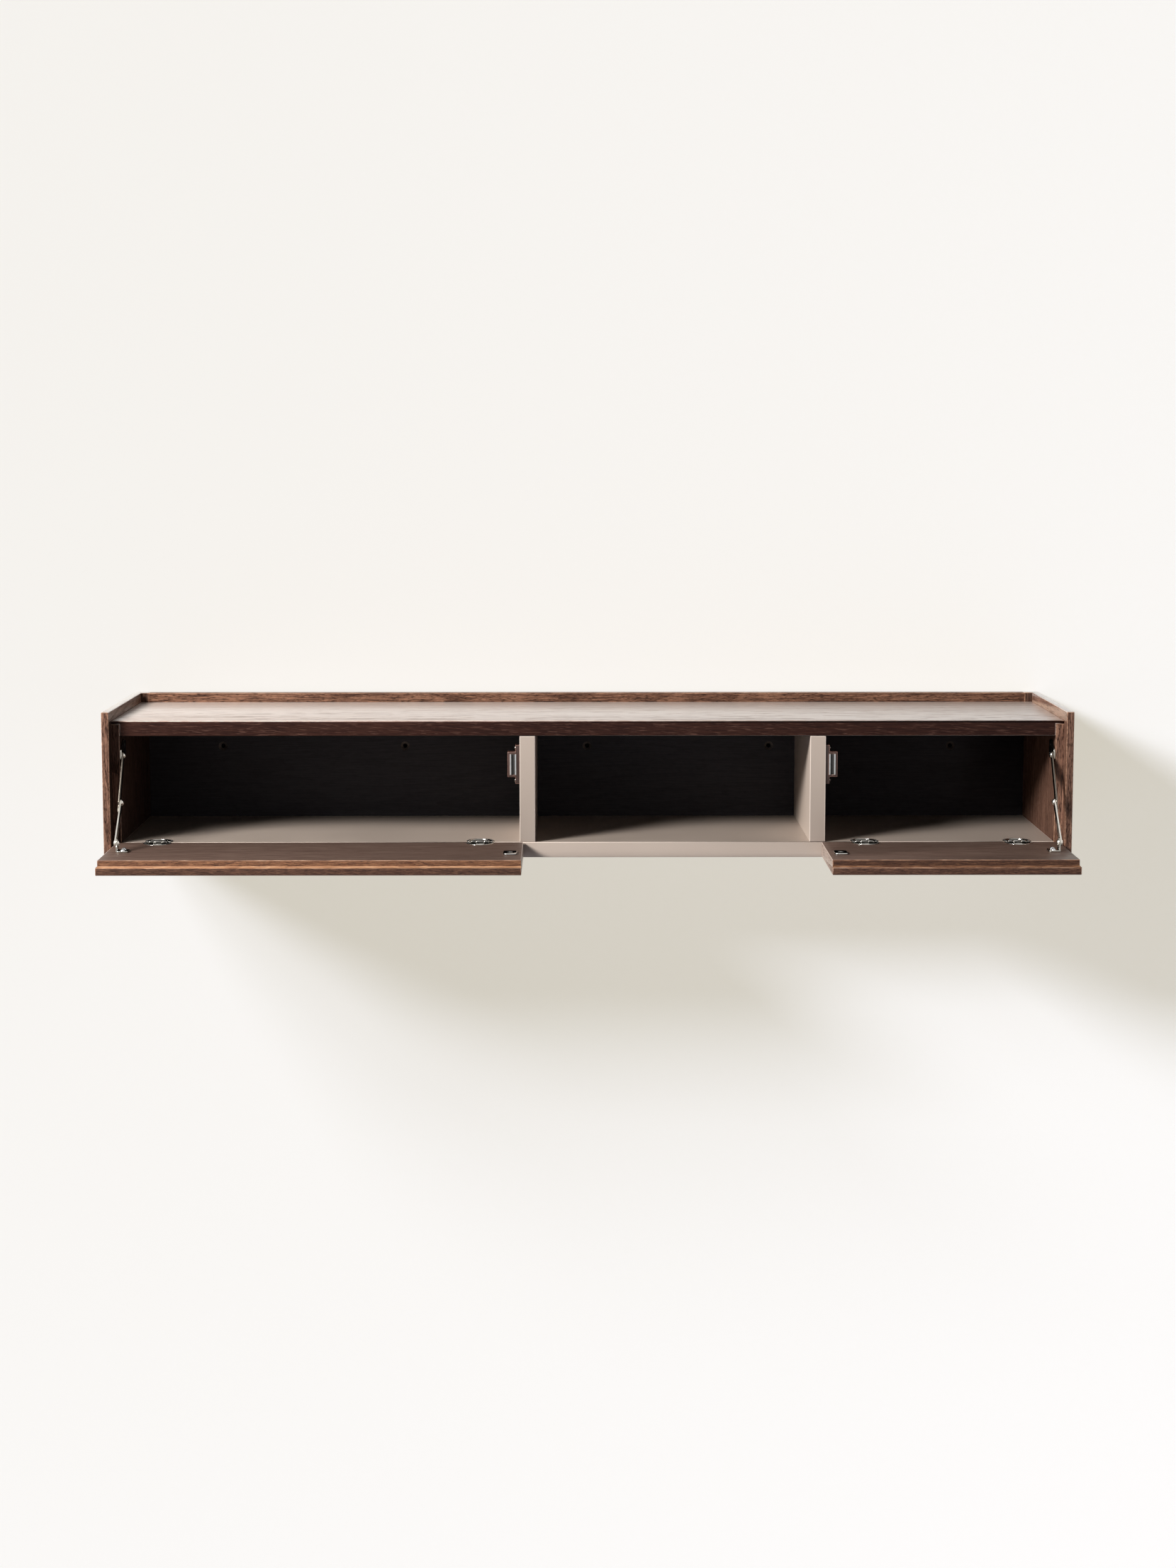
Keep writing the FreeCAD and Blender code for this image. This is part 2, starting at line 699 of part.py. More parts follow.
def make_hinges(side_name, side):
    inner_edge = "flap_knuckle_reach + knuckle_gap"
    case_arms = [("0 - knuckle_reach", f"0 - ({inner_edge})"), (inner_edge, "knuckle_reach")]
    flap_arms = [("0 - flap_knuckle_reach", "flap_knuckle_reach")]
    halves = {"case": (1, case_arms), "flap": (-1, flap_arms)}
    for half_name, (sense, arms) in halves.items():
        cups = []
        screws = []
        for place_name, distance in hinge_places(side_name).items():
            name = f"{half_name}_cup_{side_name}_{place_name}"
            cups.append(make_cup(name, side, distance, sense, arms))
            for index, spot in enumerate(cup_screw_places(side, distance, sense)):
                screws.append(flat_screw(f"{name}_screw_{index}", "z", -1, "cavity_bottom", spot,
                                         "cup_screw_length"))
        cups_label = f"hinge_{half_name}_cups_{side_name}"
        node(cups_label, group(cups_label, cups))
        screws_label = f"hinge_{half_name}_screws_{side_name}"
        node(screws_label, group(screws_label, screws))
    pins = []
    for place_name, distance in hinge_places(side_name).items():
        x = outwards(side, distance)
        pins.append(rod(f"hinge_pin_{side_name}_{place_name}", "x",
                        (f"{x} - knuckle_reach", f"{x} + knuckle_reach"),
                        ("hinge_line", "floor"), "hinge_pin_radius"))
    node(f"hinge_pins_{side_name}", group(f"hinge_pins_{side_name}", pins))


# The folding stays. Their plates are layers, counted inwards from the side panel's inner face

def layer(side, near, far):
    return span(side, f"inner_half - ({far})", f"inner_half - ({near})")


def stay_screw_places():
    """The Y and Z of the two screws in a stay's case bracket."""
    back = "upper_pivot_y + bracket_screw_back"
    return [(back, "upper_pivot_z"),
            (f"{back} - bracket_screw_stagger", "upper_pivot_z + bracket_screw_rise")]


def flap_bracket_screw_places(side):
    """The X and Y of the two screws in a stay's flap bracket."""
    x = outwards(side, "inner_half - ear_layer_end - flap_bracket_reach / 2")
    half = "flap_bracket_screw_pitch / 2"
    return [(x, f"flap_pivot_y + {hand} * {half}") for hand in (-1, 1)]


def make_case_bracket(side_name, side):
    """The plate on the side panel that carries the stay's top pivot."""
    name = f"stay_case_bracket_{side_name}"
    body = new_body(f"{name}_body")
    low, high = layer(side, "0", "bracket_plate")
    sketch = new_sketch(body, f"{name}_sketch", "YZ_Plane", low)
    front = "upper_pivot_y - bracket_margin"
    back = "upper_pivot_y + bracket_screw_back + bracket_margin"
    bottom = "upper_pivot_z - bracket_margin"
    top = "upper_pivot_z + bracket_screw_rise + bracket_margin"
    outline(sketch, [
        (front, bottom), (back, bottom), (back, top), (f"{back} - bracket_top_edge", top),
        (front, "upper_pivot_z + bracket_margin"),
    ])
    plate = pad(body, sketch, f"({high}) - ({low})")
    round_corners(body, plate, "x", "bracket_corner")
    tools = [rod(f"{name}_pivot_hole", "x", (low, high), ("upper_pivot_y", "upper_pivot_z"),
                 "rivet_radius")]
    for index, spot in enumerate(stay_screw_places()):
        tools += flat_screw_hole(f"{name}_hole_{index}", "x", side,
                                 outwards(side, "inner_half - bracket_plate"), spot,
                                 "plate_screw_length")
    node(name, cut(name, body, tools))
    screws = [
        flat_screw(f"{name}_screw_{index}", "x", side,
                   outwards(side, "inner_half - bracket_plate"), spot, "plate_screw_length")
        for index, spot in enumerate(stay_screw_places())
    ]
    node(f"stay_case_screws_{side_name}", group(f"stay_case_screws_{side_name}", screws))


def make_link(name, side, near, far, start, end, half, tab):
    """A flat bar from one pivot to the next, drawn along its own length and then turned into
    place. A tab may go on past its far pivot."""
    low, high = layer(side, near, far)
    body = new_body(f"{name}_body")
    sketch = new_sketch(body, f"{name}_sketch", "YZ_Plane")
    bar_outline(sketch, "link_length", half)
    pad(body, sketch, f"({high}) - ({low})")
    if tab:
        tab_sketch = new_sketch(body, f"{name}_tab_sketch", "YZ_Plane")
        outline(tab_sketch, [
            ("link_length", "0 - stop_tab_half"),
            ("link_length + stop_tab_length", "0 - stop_tab_half"),
            ("link_length + stop_tab_length", "stop_tab_half"),
            ("link_length", "stop_tab_half"),
        ])
        pad(body, tab_sketch, f"({high}) - ({low})")
    along_x = FreeCAD.Rotation(FreeCAD.Vector(1, 0, 0), 1)
    body.Placement = FreeCAD.Placement(FreeCAD.Vector(), along_x)
    bind(body, "Placement.Base.x", low)
    bind(body, "Placement.Base.y", start[0])
    bind(body, "Placement.Base.z", start[1])
    bind(body, "Placement.Rotation.Angle",
         f"atan2({end[1]} - ({start[1]}); {end[0]} - ({start[0]}))")
    return body


def make_links(side_name, side):
    top = ("upper_pivot_y", "upper_pivot_z")
    knee = ("knee_y", "knee_z")
    eye = ("flap_pivot_y", "flap_pivot_z")

    name = f"stay_upper_link_{side_name}"
    bar = make_link(name, side, "upper_layer", "upper_layer_end", top, knee, "upper_link_half", True)
    ends = layer(side, "upper_layer", "upper_layer_end")
    seats = [
        rod(f"{name}_top_hole", "x", ends, top, "rivet_hole_radius"),
        rod(f"{name}_knee_hole", "x", ends, knee, "rivet_radius"),
    ]
    node(name, cut(name, bar, seats))

    name = f"stay_lower_link_{side_name}"
    bar = make_link(name, side, "lower_layer", "lower_layer_end", eye, knee, "lower_link_half", False)
    ends = layer(side, "lower_layer", "lower_layer_end")
    seats = [
        rod(f"{name}_eye_hole", "x", ends, eye, "rivet_hole_radius"),
        rod(f"{name}_knee_hole", "x", ends, knee, "rivet_radius"),
    ]
    node(name, cut(name, bar, seats))

    name = f"stay_top_rivet_{side_name}"
    node(name, headed_rivet(name, side, "0", "upper_layer_end + running_fit", top))

    name = f"stay_knee_tail_{side_name}"
    node(name, rod(name, "x", layer(side, "upper_layer", "upper_layer_end"), knee, "rivet_radius"))

    name = f"stay_knee_rivet_{side_name}"
    node(name, headed_rivet(name, side, "lower_layer", "lower_layer_end", knee))

    name = f"stay_flap_rivet_{side_name}"
    outer_end = "lower_layer - running_fit"
    tail = rod(f"{name}_tail", "x", layer(side, f"{outer_end} - rivet_tail", outer_end), eye,
               "rivet_tail_radius")
    pin = headed_rivet(f"{name}_pin", side, outer_end, "ear_layer_end", eye)
    node(name, join(name, [tail, pin]))


def headed_rivet(name, side, near, far, centre):
    """A rivet whose round head is on its end towards the bay."""
    shank = rod(f"{name}_shank", "x", layer(side, near, far), centre, "rivet_radius")
    head = dome(f"{name}_head", "x", -side, outwards(side, f"inner_half - ({far})"), centre,
                "rivet_head_radius", "rivet_head_height")
    return join(name, [shank, head])


def make_flap_bracket(side_name, side):
    """An angle on the flap: an upright ear with the stay's lower pivot, and a foot with two screws.
    The ear stands on the bay's side of the lower link."""
    name = f"stay_flap_bracket_{side_name}"
    ear_ends = layer(side, "ear_layer", "ear_layer_end")
    half = "flap_bracket_width / 2"
    wide = (f"flap_pivot_y - {half}", f"flap_pivot_y + {half}")
    ear_half = "rivet_head_radius + bracket_plate"
    narrow = (f"flap_pivot_y - ({ear_half})", f"flap_pivot_y + ({ear_half})")
    eye = ("flap_pivot_y", "flap_pivot_z")
    foot_ends = layer(side, "ear_layer", "ear_layer_end + flap_bracket_reach")
    seat = "floor + bracket_plate"
    angle = join(f"{name}_angle", [
        rounded_plate(f"{name}_foot", foot_ends, wide, ("floor", seat), "flap_bracket_corner"),
        box(f"{name}_ear", ear_ends, narrow, ("floor", "flap_pivot_z")),
        rod(f"{name}_eye", "x", ear_ends, eye, ear_half),
    ])
    tools = [rod(f"{name}_hole", "x", ear_ends, eye, "rivet_radius")]
    screws = []
    for index, spot in enumerate(flap_bracket_screw_places(side)):
        tools.append(round_screw_hole(f"{name}_hole_{index}", "z", -1, seat, spot))
        screws.append(round_screw(f"{name}_screw_{index}", "z", -1, seat, spot))
    node(name, cut(name, angle, tools))
    node(f"stay_flap_screws_{side_name}", group(f"stay_flap_screws_{side_name}", screws))


# The magnetic catches, each on the face of a divider that its flap's bay lies beyond

def catch_screw_places():
    """The Y and Z of the two screws in a catch's flange."""
    y = "catch_front + catch_depth / 2"
    return [(y, f"catch_z + {hand} * catch_screw_pitch / 2") for hand in (-1, 1)]


def make_catch(side_name, side):
    face = f"inner_half - {side_name}_bay"
    depth = ("catch_front", "catch_front + catch_depth")
    across = f"({face} + catch_near_wall + pole_plate)"
    far = f"{across} + magnet_thickness"

    def tall(height):
        return (f"catch_z - {height} / 2", f"catch_z + {height} / 2")

    name = f"catch_housing_{side_name}"
    inside = "(catch_body_height - 2 * catch_wall)"
    blank = join(f"{name}_blank", [
        box(f"{name}_flange", span(side, face, f"{face} + catch_flange"), depth,
            tall("catch_flange_height")),
        box(f"{name}_body", span(side, face, f"{face} + catch_reach"), depth,
            tall("catch_body_height")),
    ])
    hollow = box(f"{name}_hollow", span(side, f"{across} - pole_plate", f"{far} + pole_plate"),
                 ("catch_front", "catch_front + catch_depth - catch_wall"), tall(inside))
    tools = [hollow]
    screws = []
    seat = outwards(side, f"{face} + catch_flange")
    for index, centre in enumerate(catch_screw_places()):
        tools.append(round_screw_hole(f"{name}_hole_{index}", "x", -side, seat, centre))
        screws.append(round_screw(f"{name}_screw_{index}", "x", -side, seat, centre))
    node(name, cut(name, blank, tools))
    node(f"catch_screws_{side_name}", group(f"catch_screws_{side_name}", screws))

    plates = []
    for place_name, near in (("near", f"{across} - pole_plate"), ("far", far)):
        plates.append(box(f"pole_plate_{side_name}_{place_name}",
                          span(side, near, f"{near} + pole_plate"),
                          ("pole_front", "catch_front + catch_depth - catch_wall"), tall(inside)))
    node(f"catch_pole_plates_{side_name}", group(f"catch_pole_plates_{side_name}", plates))

    name = f"catch_magnet_{side_name}"
    node(name, box(name, span(side, across, far),
                   ("catch_front + magnet_sink", "catch_front + catch_depth - catch_wall"),
                   tall(inside)))


def strike_place(side_name, side):
    """The X and Y of the middle of a strike plate on its open flap."""
    return outwards(side, f"inner_half - {side_name}_bay + strike_offset"), "strike_y"


def make_strike(side_name, side):
    """The steel plate on the flap that meets the catch's two pole plates when it closes."""
    name = f"strike_plate_{side_name}"
    centre = strike_place(side_name, side)
    across, ahead = [(f"{middle} - {size} / 2", f"{middle} + {size} / 2")
                     for middle, size in zip(centre, ("strike_width", "strike_length"))]
    seat = "floor + strike_thickness"
    plate = rounded_plate(name, across, ahead, ("floor", seat), "strike_corner")
    hole = flat_screw_hole(f"{name}_hole", "z", -1, seat, centre, "plate_screw_length")
    node(name, cut(name, plate, hole))
    name = f"strike_screw_{side_name}"
    node(name, flat_screw(name, "z", -1, seat, centre, "plate_screw_length"))


# Building, checking and writing

make_top_panel()
make_bottom_panel()
make_back_board()
make_joinery()
for side_name, side in SIDES.items():
    make_side_panel(side_name, side)
    make_divider(side_name, side)
    make_flap(side_name, side)
    make_hinges(side_name, side)
    make_case_bracket(side_name, side)
    make_links(side_name, side)
    make_flap_bracket(side_name, side)
    make_catch(side_name, side)
    make_strike(side_name, side)
document.recompute()

for thing in document.Objects:
    if "Invalid" in thing.State or "Error" in thing.State:
        raise RuntimeError(f"{thing.Name} did not recompute: {thing.State}")
for thing in nodes:
    if thing.Shape.isNull() or not thing.Shape.isValid() or not thing.Shape.Solids:
        raise RuntimeError(f"{thing.Label} has no valid solid")

os.makedirs("parts", exist_ok=True)
for thing in nodes:
    thing.Shape.exportStep(f"parts/{thing.Label}.step")
    print(f"{thing.Label}: {len(thing.Shape.Solids)} solids, {thing.Shape.Volume / 1000:.2f} cm3")
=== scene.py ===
import bmesh
import bpy
import json
import math
import numpy as np
from collections import namedtuple
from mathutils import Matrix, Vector

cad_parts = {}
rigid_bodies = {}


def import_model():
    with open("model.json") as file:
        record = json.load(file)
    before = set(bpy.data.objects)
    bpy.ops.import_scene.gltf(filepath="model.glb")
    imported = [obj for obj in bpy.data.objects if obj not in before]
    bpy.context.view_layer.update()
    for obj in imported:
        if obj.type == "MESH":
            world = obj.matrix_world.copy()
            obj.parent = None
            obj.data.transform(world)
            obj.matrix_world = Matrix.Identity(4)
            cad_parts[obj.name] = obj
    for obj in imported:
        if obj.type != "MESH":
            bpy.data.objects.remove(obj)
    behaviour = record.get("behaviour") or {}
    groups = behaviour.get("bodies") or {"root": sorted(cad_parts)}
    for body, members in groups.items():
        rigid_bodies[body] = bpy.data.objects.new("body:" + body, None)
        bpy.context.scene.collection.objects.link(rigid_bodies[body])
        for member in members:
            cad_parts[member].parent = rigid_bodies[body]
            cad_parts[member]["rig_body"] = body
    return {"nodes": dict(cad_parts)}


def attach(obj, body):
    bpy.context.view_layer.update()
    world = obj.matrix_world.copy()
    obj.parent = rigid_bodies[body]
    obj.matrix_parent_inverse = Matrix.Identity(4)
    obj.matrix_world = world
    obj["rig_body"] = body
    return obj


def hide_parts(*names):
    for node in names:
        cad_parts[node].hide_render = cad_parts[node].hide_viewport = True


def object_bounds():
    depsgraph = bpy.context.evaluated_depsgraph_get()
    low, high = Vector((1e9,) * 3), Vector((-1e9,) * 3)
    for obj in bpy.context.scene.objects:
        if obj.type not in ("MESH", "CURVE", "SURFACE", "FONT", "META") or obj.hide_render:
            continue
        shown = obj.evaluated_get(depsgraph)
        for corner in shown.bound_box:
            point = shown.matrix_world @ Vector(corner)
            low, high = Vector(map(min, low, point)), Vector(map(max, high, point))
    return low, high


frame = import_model()
cad_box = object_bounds()

SIDES = ("left", "right")

# Where one finish on a board ends and the next begins, in metres. TOP_FACE is the height of the top
# panel's upper face. Measured from the middle of the case, a side panel's face in the bay lies
# within BAY_SIDE, the step behind its front edge and its rear corner within RIM_SIDE, and every
# face that looks inwards within OUTER_SIDE. The last three part the side panels' painted shade and
# painted sheen from their plain wood.
TOP_FACE = 0.0545
BAY_SIDE = 0.5415
RIM_SIDE = 0.5505
OUTER_SIDE = 0.558

# The free edge of a flap lies in front of FLAP_EDGE. At FLAP_LEDGE its cove meets the lower band,
# and the cove's faces have their middles between the two heights that follow. Those that look up
# less than COVE_STEEPEST are part of the upper band, and the others carry a painted highlight.
FLAP_EDGE = -0.3745
FLAP_LEDGE = -0.0954
COVE_HEIGHTS = (FLAP_LEDGE - 0.0002, FLAP_LEDGE + 0.004)
COVE_STEEPEST = 0.1

# A hinge cup's raised rim has its flat top above this height. That top is bright, partly its
# polish and partly a painted highlight
CUP_RIM_LEVEL = -0.0864

# A face looks along an axis where the part of its direction along it is over ALONG. A countersink
# slopes, so the part of its direction towards the front is between the two that follow.
ALONG = 0.7
COUNTERSINK_SLOPE = (0.3, 0.9)

# Rounded edges: the boards' radius in metres, how long an edge of a board has to be to get one,
# and how many flat strips go round an edge
BOARD_RADIUS = 0.0008
BOARD_SHORTEST = 0.004
BOARD_SEGMENTS = 3
HARDWARE_SEGMENTS = 2
# An outside edge that turns more than the first of these is rounded, and any other edge that turns
# more than the second stays sharp
ROUNDED_TURN = math.radians(50)
SHARP_TURN = math.radians(32)

# Corners of a CAD mesh that are nearer than this are one corner, an edge that turns less than this
# lies within a flat face, and a height may be this much out
SAME_CORNER = 1e-6
FLAT_TURN = math.radians(0.6)
HEIGHT_SLACK = 1e-5

# The stage, in metres
FLOOR_LEVEL = -1.28
FLOOR_HALF = 7.0
WALL_HALF = 6.0
WALL_TOP = 5.0
WALL_GAP = 0.0004
COVERED_INSET = 0.004

# The lamps: where each stands, where it points, its width and height, and the light that a white
# surface facing it gives back at the place that it points to
Lamp = namedtuple("Lamp", "stand aim size strength")
LAMPS = {
    "key": Lamp((-6.11, -5.66, 3.74), (0.0, -0.25, -0.05), (2.85, 1.67), 0.88),
    "side": Lamp((-1.3, -1.15, 0.86), (-0.3, -0.3, -0.05), (0.6, 0.45), 0.68),
}
LAMP_COLOUR = (1.0, 0.99, 0.975)
# The world: its tone as a screen shows it, and the strength of its even light on the surfaces
WORLD_TONE = (250, 248, 246)
FILL = 0.02
# The tone of the part of the wall that the case covers, a painted shade behind the case
COVERED_TONE = (70, 66, 62)
# The backdrop's own glow, the share of the lamps' light that it adds to it, and the least light
# that this share is divided by, far from the lamps
BACKDROP_GLOW = (0.586, 0.545, 0.441, 1.0)
LAMP_PART = (0.309, 0.328, 0.39)
LEAST_LIGHT = 0.15

# The camera: its place in metres, how far it looks up from straight down and turns to the side in
# degrees, its focal length and the width of its frame in millimetres, and how far it sees in metres
CAMERA_PLACE = (-0.0212, -3.4938, 0.3833)
CAMERA_TILT = 82.944
CAMERA_TURN = -0.37
CAMERA_LENS = 64.97
CAMERA_FRAME = 36.0
CAMERA_REACH = 50.0


# Small helpers for node trees

# The colour sockets of a Mix node, which have the same names as its sockets for numbers
MIX_SHARE, MIX_FIRST, MIX_SECOND, MIX_RESULT = 0, 6, 7, 2


def fill_in(tree, socket, value):
    """Links a socket to another, or sets its number or colour."""
    if isinstance(value, bpy.types.NodeSocket):
        tree.links.new(value, socket)
    else:
        socket.default_value = value


def lay(tree, kind, inputs=None, **settings):
    """Adds a node, sets its options and fills its inputs."""
    node = tree.nodes.new(kind)
    for name, value in settings.items():
        setattr(node, name, value)
    for name, value in (inputs or {}).items():
        fill_in(tree, node.inputs[name], value)
    return node


def sums(tree, operation, *values):
    """One step of arithmetic on numbers."""
    node = lay(tree, "ShaderNodeMath", operation=operation)
    for socket, value in zip(node.inputs, values):
        fill_in(tree, socket, value)
    return node.outputs[0]


def vector_sums(tree, operation, *values):
    """One step of arithmetic on vectors, which gives a vector, or a number for a length or a dot
    product."""
    node = lay(tree, "ShaderNodeVectorMath", operation=operation)
    for socket, value in zip(node.inputs, values):
        fill_in(tree, socket, value)
    return node.outputs["Value" if operation in ("LENGTH", "DOT_PRODUCT") else "Vector"]


def between(tree, share, first, second):
    """A colour part of the way from the first to the second."""
    node = lay(tree, "ShaderNodeMix", data_type="RGBA", blend_type="MIX")
    for index, value in ((MIX_SHARE, share), (MIX_FIRST, first), (MIX_SECOND, second)):
        fill_in(tree, node.inputs[index], value)
    return node.outputs[MIX_RESULT]


def ramp(tree, value, low, high, start=0.0, end=1.0):
    """start below low, end above high, and a straight line from one to the other."""
    node = lay(tree, "ShaderNodeMapRange", {"Value": value, "From Min": low, "From Max": high,
                                            "To Min": start, "To Max": end})
    return node.outputs[0]


def noise(tree, place, detail=2.0, roughness=0.5, scale=1.0):
    """A noise with a mean of a half, whose patches are about a metre wide at a scale of 1."""
    inputs = {"Vector": place, "Scale": scale, "Detail": detail, "Roughness": roughness}
    return lay(tree, "ShaderNodeTexNoise", inputs).outputs[0]


def object_place(tree):
    """Where a point lies on the object, in metres."""
    return lay(tree, "ShaderNodeTexCoord").outputs["Object"]


def bump(tree, shader, height, distance, strength):
    """Raises the surface by a pattern from 0 to 1, with its full height given in metres."""
    node = lay(tree, "ShaderNodeBump", {"Height": height, "Distance": distance,
                                        "Strength": strength})
    fill_in(tree, shader.inputs["Normal"], node.outputs[0])


def linear(*levels):
    """A colour from its red, green and blue as a screen shows them, from 0 to 255."""
    shares = np.array(levels) / 255
    low = shares / 12.92
    high = ((shares + 0.055) / 1.055) ** 2.4
    return tuple(np.where(shares <= 0.04045, low, high)) + (1.0,)


def dimmed(colour, share):
    """A colour with only a share of its light."""
    return tuple(share * part for part in colour[:3]) + (1.0,)


def new_material(name):
    """A material with one Principled shader, its tree and its shader."""
    material = bpy.data.materials.new(name)
    material.use_nodes = True
    tree = material.node_tree
    shader = tree.nodes["Principled BSDF"]
    return material, tree, shader


def bare_material(name):
    """A material with an empty tree, and its tree."""
    material = bpy.data.materials.new(name)
    material.use_nodes = True
    tree = material.node_tree
    tree.nodes.clear()
    return material, tree


def set_shader(tree, shader, **values):
    """Fills a shader's inputs, whose names are written here with _ for a space."""
    for name, value in values.items():
        fill_in(tree, shader.inputs[name.replace("_", " ")], value)


# Finishes

# How many waves of a pattern lie in a metre along and across: a wood's finest grain, and the drawn
# lines of plated metal
HAIR_GRAIN = (70, 1500)
DRAWN_LINES = (150, 3200)

# In each growth ring the late wood begins at this share of its width
LATE_START = 0.35
# The levels of the grain at which it has its dark, its middle and its pale tone
DARK_LEVEL, MIDDLE_LEVEL, PALE_LEVEL = 0.34, 0.48, 0.62
# How far above its edge level the noise has to be for a pore's full tone and depth
PORE_FADE = 0.06
# The levels of its noise at which the hair-fine grain is darkest and palest
HAIR_LEVELS = (0.3, 0.7)
# The painted sheen, a painted reflection of the bright room, comes in between these two shares of
# the way from a square look to one along the face, and the fibres keep it away more and more from
# the first of these levels down to the second
SHEEN_LOOKS = (0.55, 0.92)
SHEEN_GAP_LEVELS = (0.48, 0.2)
# How much rougher a pore is
PORE_ROUGHNESS = 0.25
# The coat: how much the late wood thins it next to a pore, and the share that is left where it is
# thinnest
LATE_THINNING = 0.3
COAT_LEFT = 0.2
COAT_ROUGHNESS = 0.3
COAT_IOR = 1.25
# How high the fibres stand and how deep the pores are, as shares of the wood's relief
FIBRE_HEIGHT = 0.4
PORE_DEPTH = 0.8
# The roughness of lacquer, at its least and its most
LACQUER_ROUGHNESS = (0.38, 0.46)
# The relief of each finish, in metres
WOOD_RELIEF = 0.00016
LACQUER_RELIEF = 0.00004
METAL_RELIEF = 0.00001
PLASTIC_RELIEF = 0.00003
# The clouds on lacquer, metal and plastic change the tone and the roughness between these levels
# of their noise
CLOUD_TONES = (0.35, 0.65)
METAL_CLOUD_TONES = (0.35, 0.75)
CLOUD_GLOSS = (0.3, 0.7)
# How far a face may look down before it takes its painted shade in place of its painted
# highlight, as the upward part of its direction
SHADE_BELOW, BRIGHT_ABOVE = -0.15, -0.01


def stretched(tree, place, grain, along, across):
    """The place scaled so that a pattern runs out long along the grain and fine across it."""
    scale = [across, across, across]
    scale["XYZ".index(grain)] = along
    return vector_sums(tree, "MULTIPLY", place, scale)


def shaded_below(tree, colour, shade_tone):
    """The colour where the surface looks up or level, and the other tone where it looks down. On a
    rounded edge the first is a painted highlight and the second a painted shade or the plain tone.
    """
    normal = lay(tree, "ShaderNodeTexCoord").outputs["Normal"]
    upwards = vector_sums(tree, "DOT_PRODUCT", normal, (0.0, 0.0, 1.0))
    return between(tree, ramp(tree, upwards, SHADE_BELOW, BRIGHT_ABOVE), shade_tone, colour)


def painted_sheen(tree, colour, glare, streaks, share, tone):
    """The colour with a painted pale sheen over it where one looks along the face, which stands in
    for the reflection of the bright room. streaks is how much of it the pores and the dark fibres
    keep away. At a blend of a half, Facing is one less the cosine of the angle between the look and
    the surface's direction."""
    facing = lay(tree, "ShaderNodeLayerWeight", {"Blend": 0.5}).outputs["Facing"]
    sheen = ramp(tree, facing, *SHEEN_LOOKS)
    bare = sums(tree, "ADD", share, ramp(tree, tone, *SHEEN_GAP_LEVELS))
    sheen = sums(tree, "MULTIPLY", sheen, ramp(tree, bare, 0.0, 1.0, 1.0, 1.0 - streaks))
    return between(tree, sheen, colour, glare)


def wood(name, grain, tones, pore_tone, figure=(1.4, 16, 22), late_depth=0.09,
         fibres=(30, 1200), pores=(130, 1200), pore_edge=0.56, pore_share=0.6, crowding=0.07,
         roughness=0.42, level=0.2, coat=0.0, slant=0.0, shift=(0.0, 0.0, 0.0), glare=None,
         streaks=0.6, shade_tone=None, fine=0.0):
    """Stained open-pored wood. Growth rings are the level lines of a slow noise, figure holding its
    two scales and the number of lines. A finer noise makes the fibres, and the two together choose
    between the dark, middle and pale tones; late_depth is how much darker a ring's late wood is.
    The pores are short dashes, crowding along the rings, and sunk a little. A coat is thinner where
    the pores are, so they show in its glare. glare is the pale tone of a painted sheen, which
    stands in for the reflection of the bright room where one looks along the wood, streaks is how
    much of it the dark fibres keep away, and a tone given for the parts that look down is a painted
    shade there.
    fine adds a hair-fine grain to one whose fibres are broad.
    slant leans the grain, and shift moves the pattern on the object."""
    material, tree, shader = new_material(name)
    place = object_place(tree)
    lean = [0.0, 0.0, 0.0]
    lean["XYZ".index(grain)] = slant
    place = vector_sums(tree, "ADD", place, vector_sums(tree, "DOT_PRODUCT", place, lean))
    place = vector_sums(tree, "ADD", place, shift)
    field_along, field_across, lines = figure
    field = noise(tree, stretched(tree, place, grain, field_along, field_across), detail=1.5)
    ring = sums(tree, "FRACT", sums(tree, "MULTIPLY", field, lines))
    late = ramp(tree, ring, LATE_START, 1.0)
    fibre = noise(tree, stretched(tree, place, grain, *fibres), detail=4.0, roughness=0.65)
    pore = noise(tree, stretched(tree, place, grain, *pores))
    tone = sums(tree, "SUBTRACT", fibre, sums(tree, "MULTIPLY", late, late_depth))
    if fine:
        hair = noise(tree, stretched(tree, place, grain, *HAIR_GRAIN), detail=3.0)
        tone = sums(tree, "ADD", tone, ramp(tree, hair, *HAIR_LEVELS, -fine, fine))
    dark, middle, pale = tones
    colour = between(tree, ramp(tree, tone, DARK_LEVEL, MIDDLE_LEVEL), dark, middle)
    colour = between(tree, ramp(tree, tone, MIDDLE_LEVEL, PALE_LEVEL), colour, pale)
    edge = sums(tree, "SUBTRACT", pore_edge, sums(tree, "MULTIPLY", late, crowding))
    inside = ramp(tree, sums(tree, "SUBTRACT", pore, edge), 0.0, PORE_FADE)
    share = sums(tree, "MULTIPLY", inside, pore_share)
    colour = between(tree, share, colour, pore_tone)
    if shade_tone:
        colour = shaded_below(tree, colour, shade_tone)
    if glare:
        colour = painted_sheen(tree, colour, glare, streaks, share, tone)
    rougher = sums(tree, "MULTIPLY", share, PORE_ROUGHNESS)
    set_shader(tree, shader, Base_Color=colour, Specular_IOR_Level=level,
               Roughness=sums(tree, "ADD", roughness, rougher))
    if coat:
        thin = sums(tree, "ADD", share, sums(tree, "MULTIPLY", late, LATE_THINNING))
        set_shader(tree, shader, Coat_Roughness=COAT_ROUGHNESS, Coat_IOR=COAT_IOR,
                   Coat_Weight=ramp(tree, thin, 0.0, 1.0, coat, COAT_LEFT * coat))
    height = sums(tree, "SUBTRACT", sums(tree, "MULTIPLY", fibre, FIBRE_HEIGHT),
                  sums(tree, "MULTIPLY", share, PORE_DEPTH))
    bump(tree, shader, height, WOOD_RELIEF, strength=0.6)
    return material


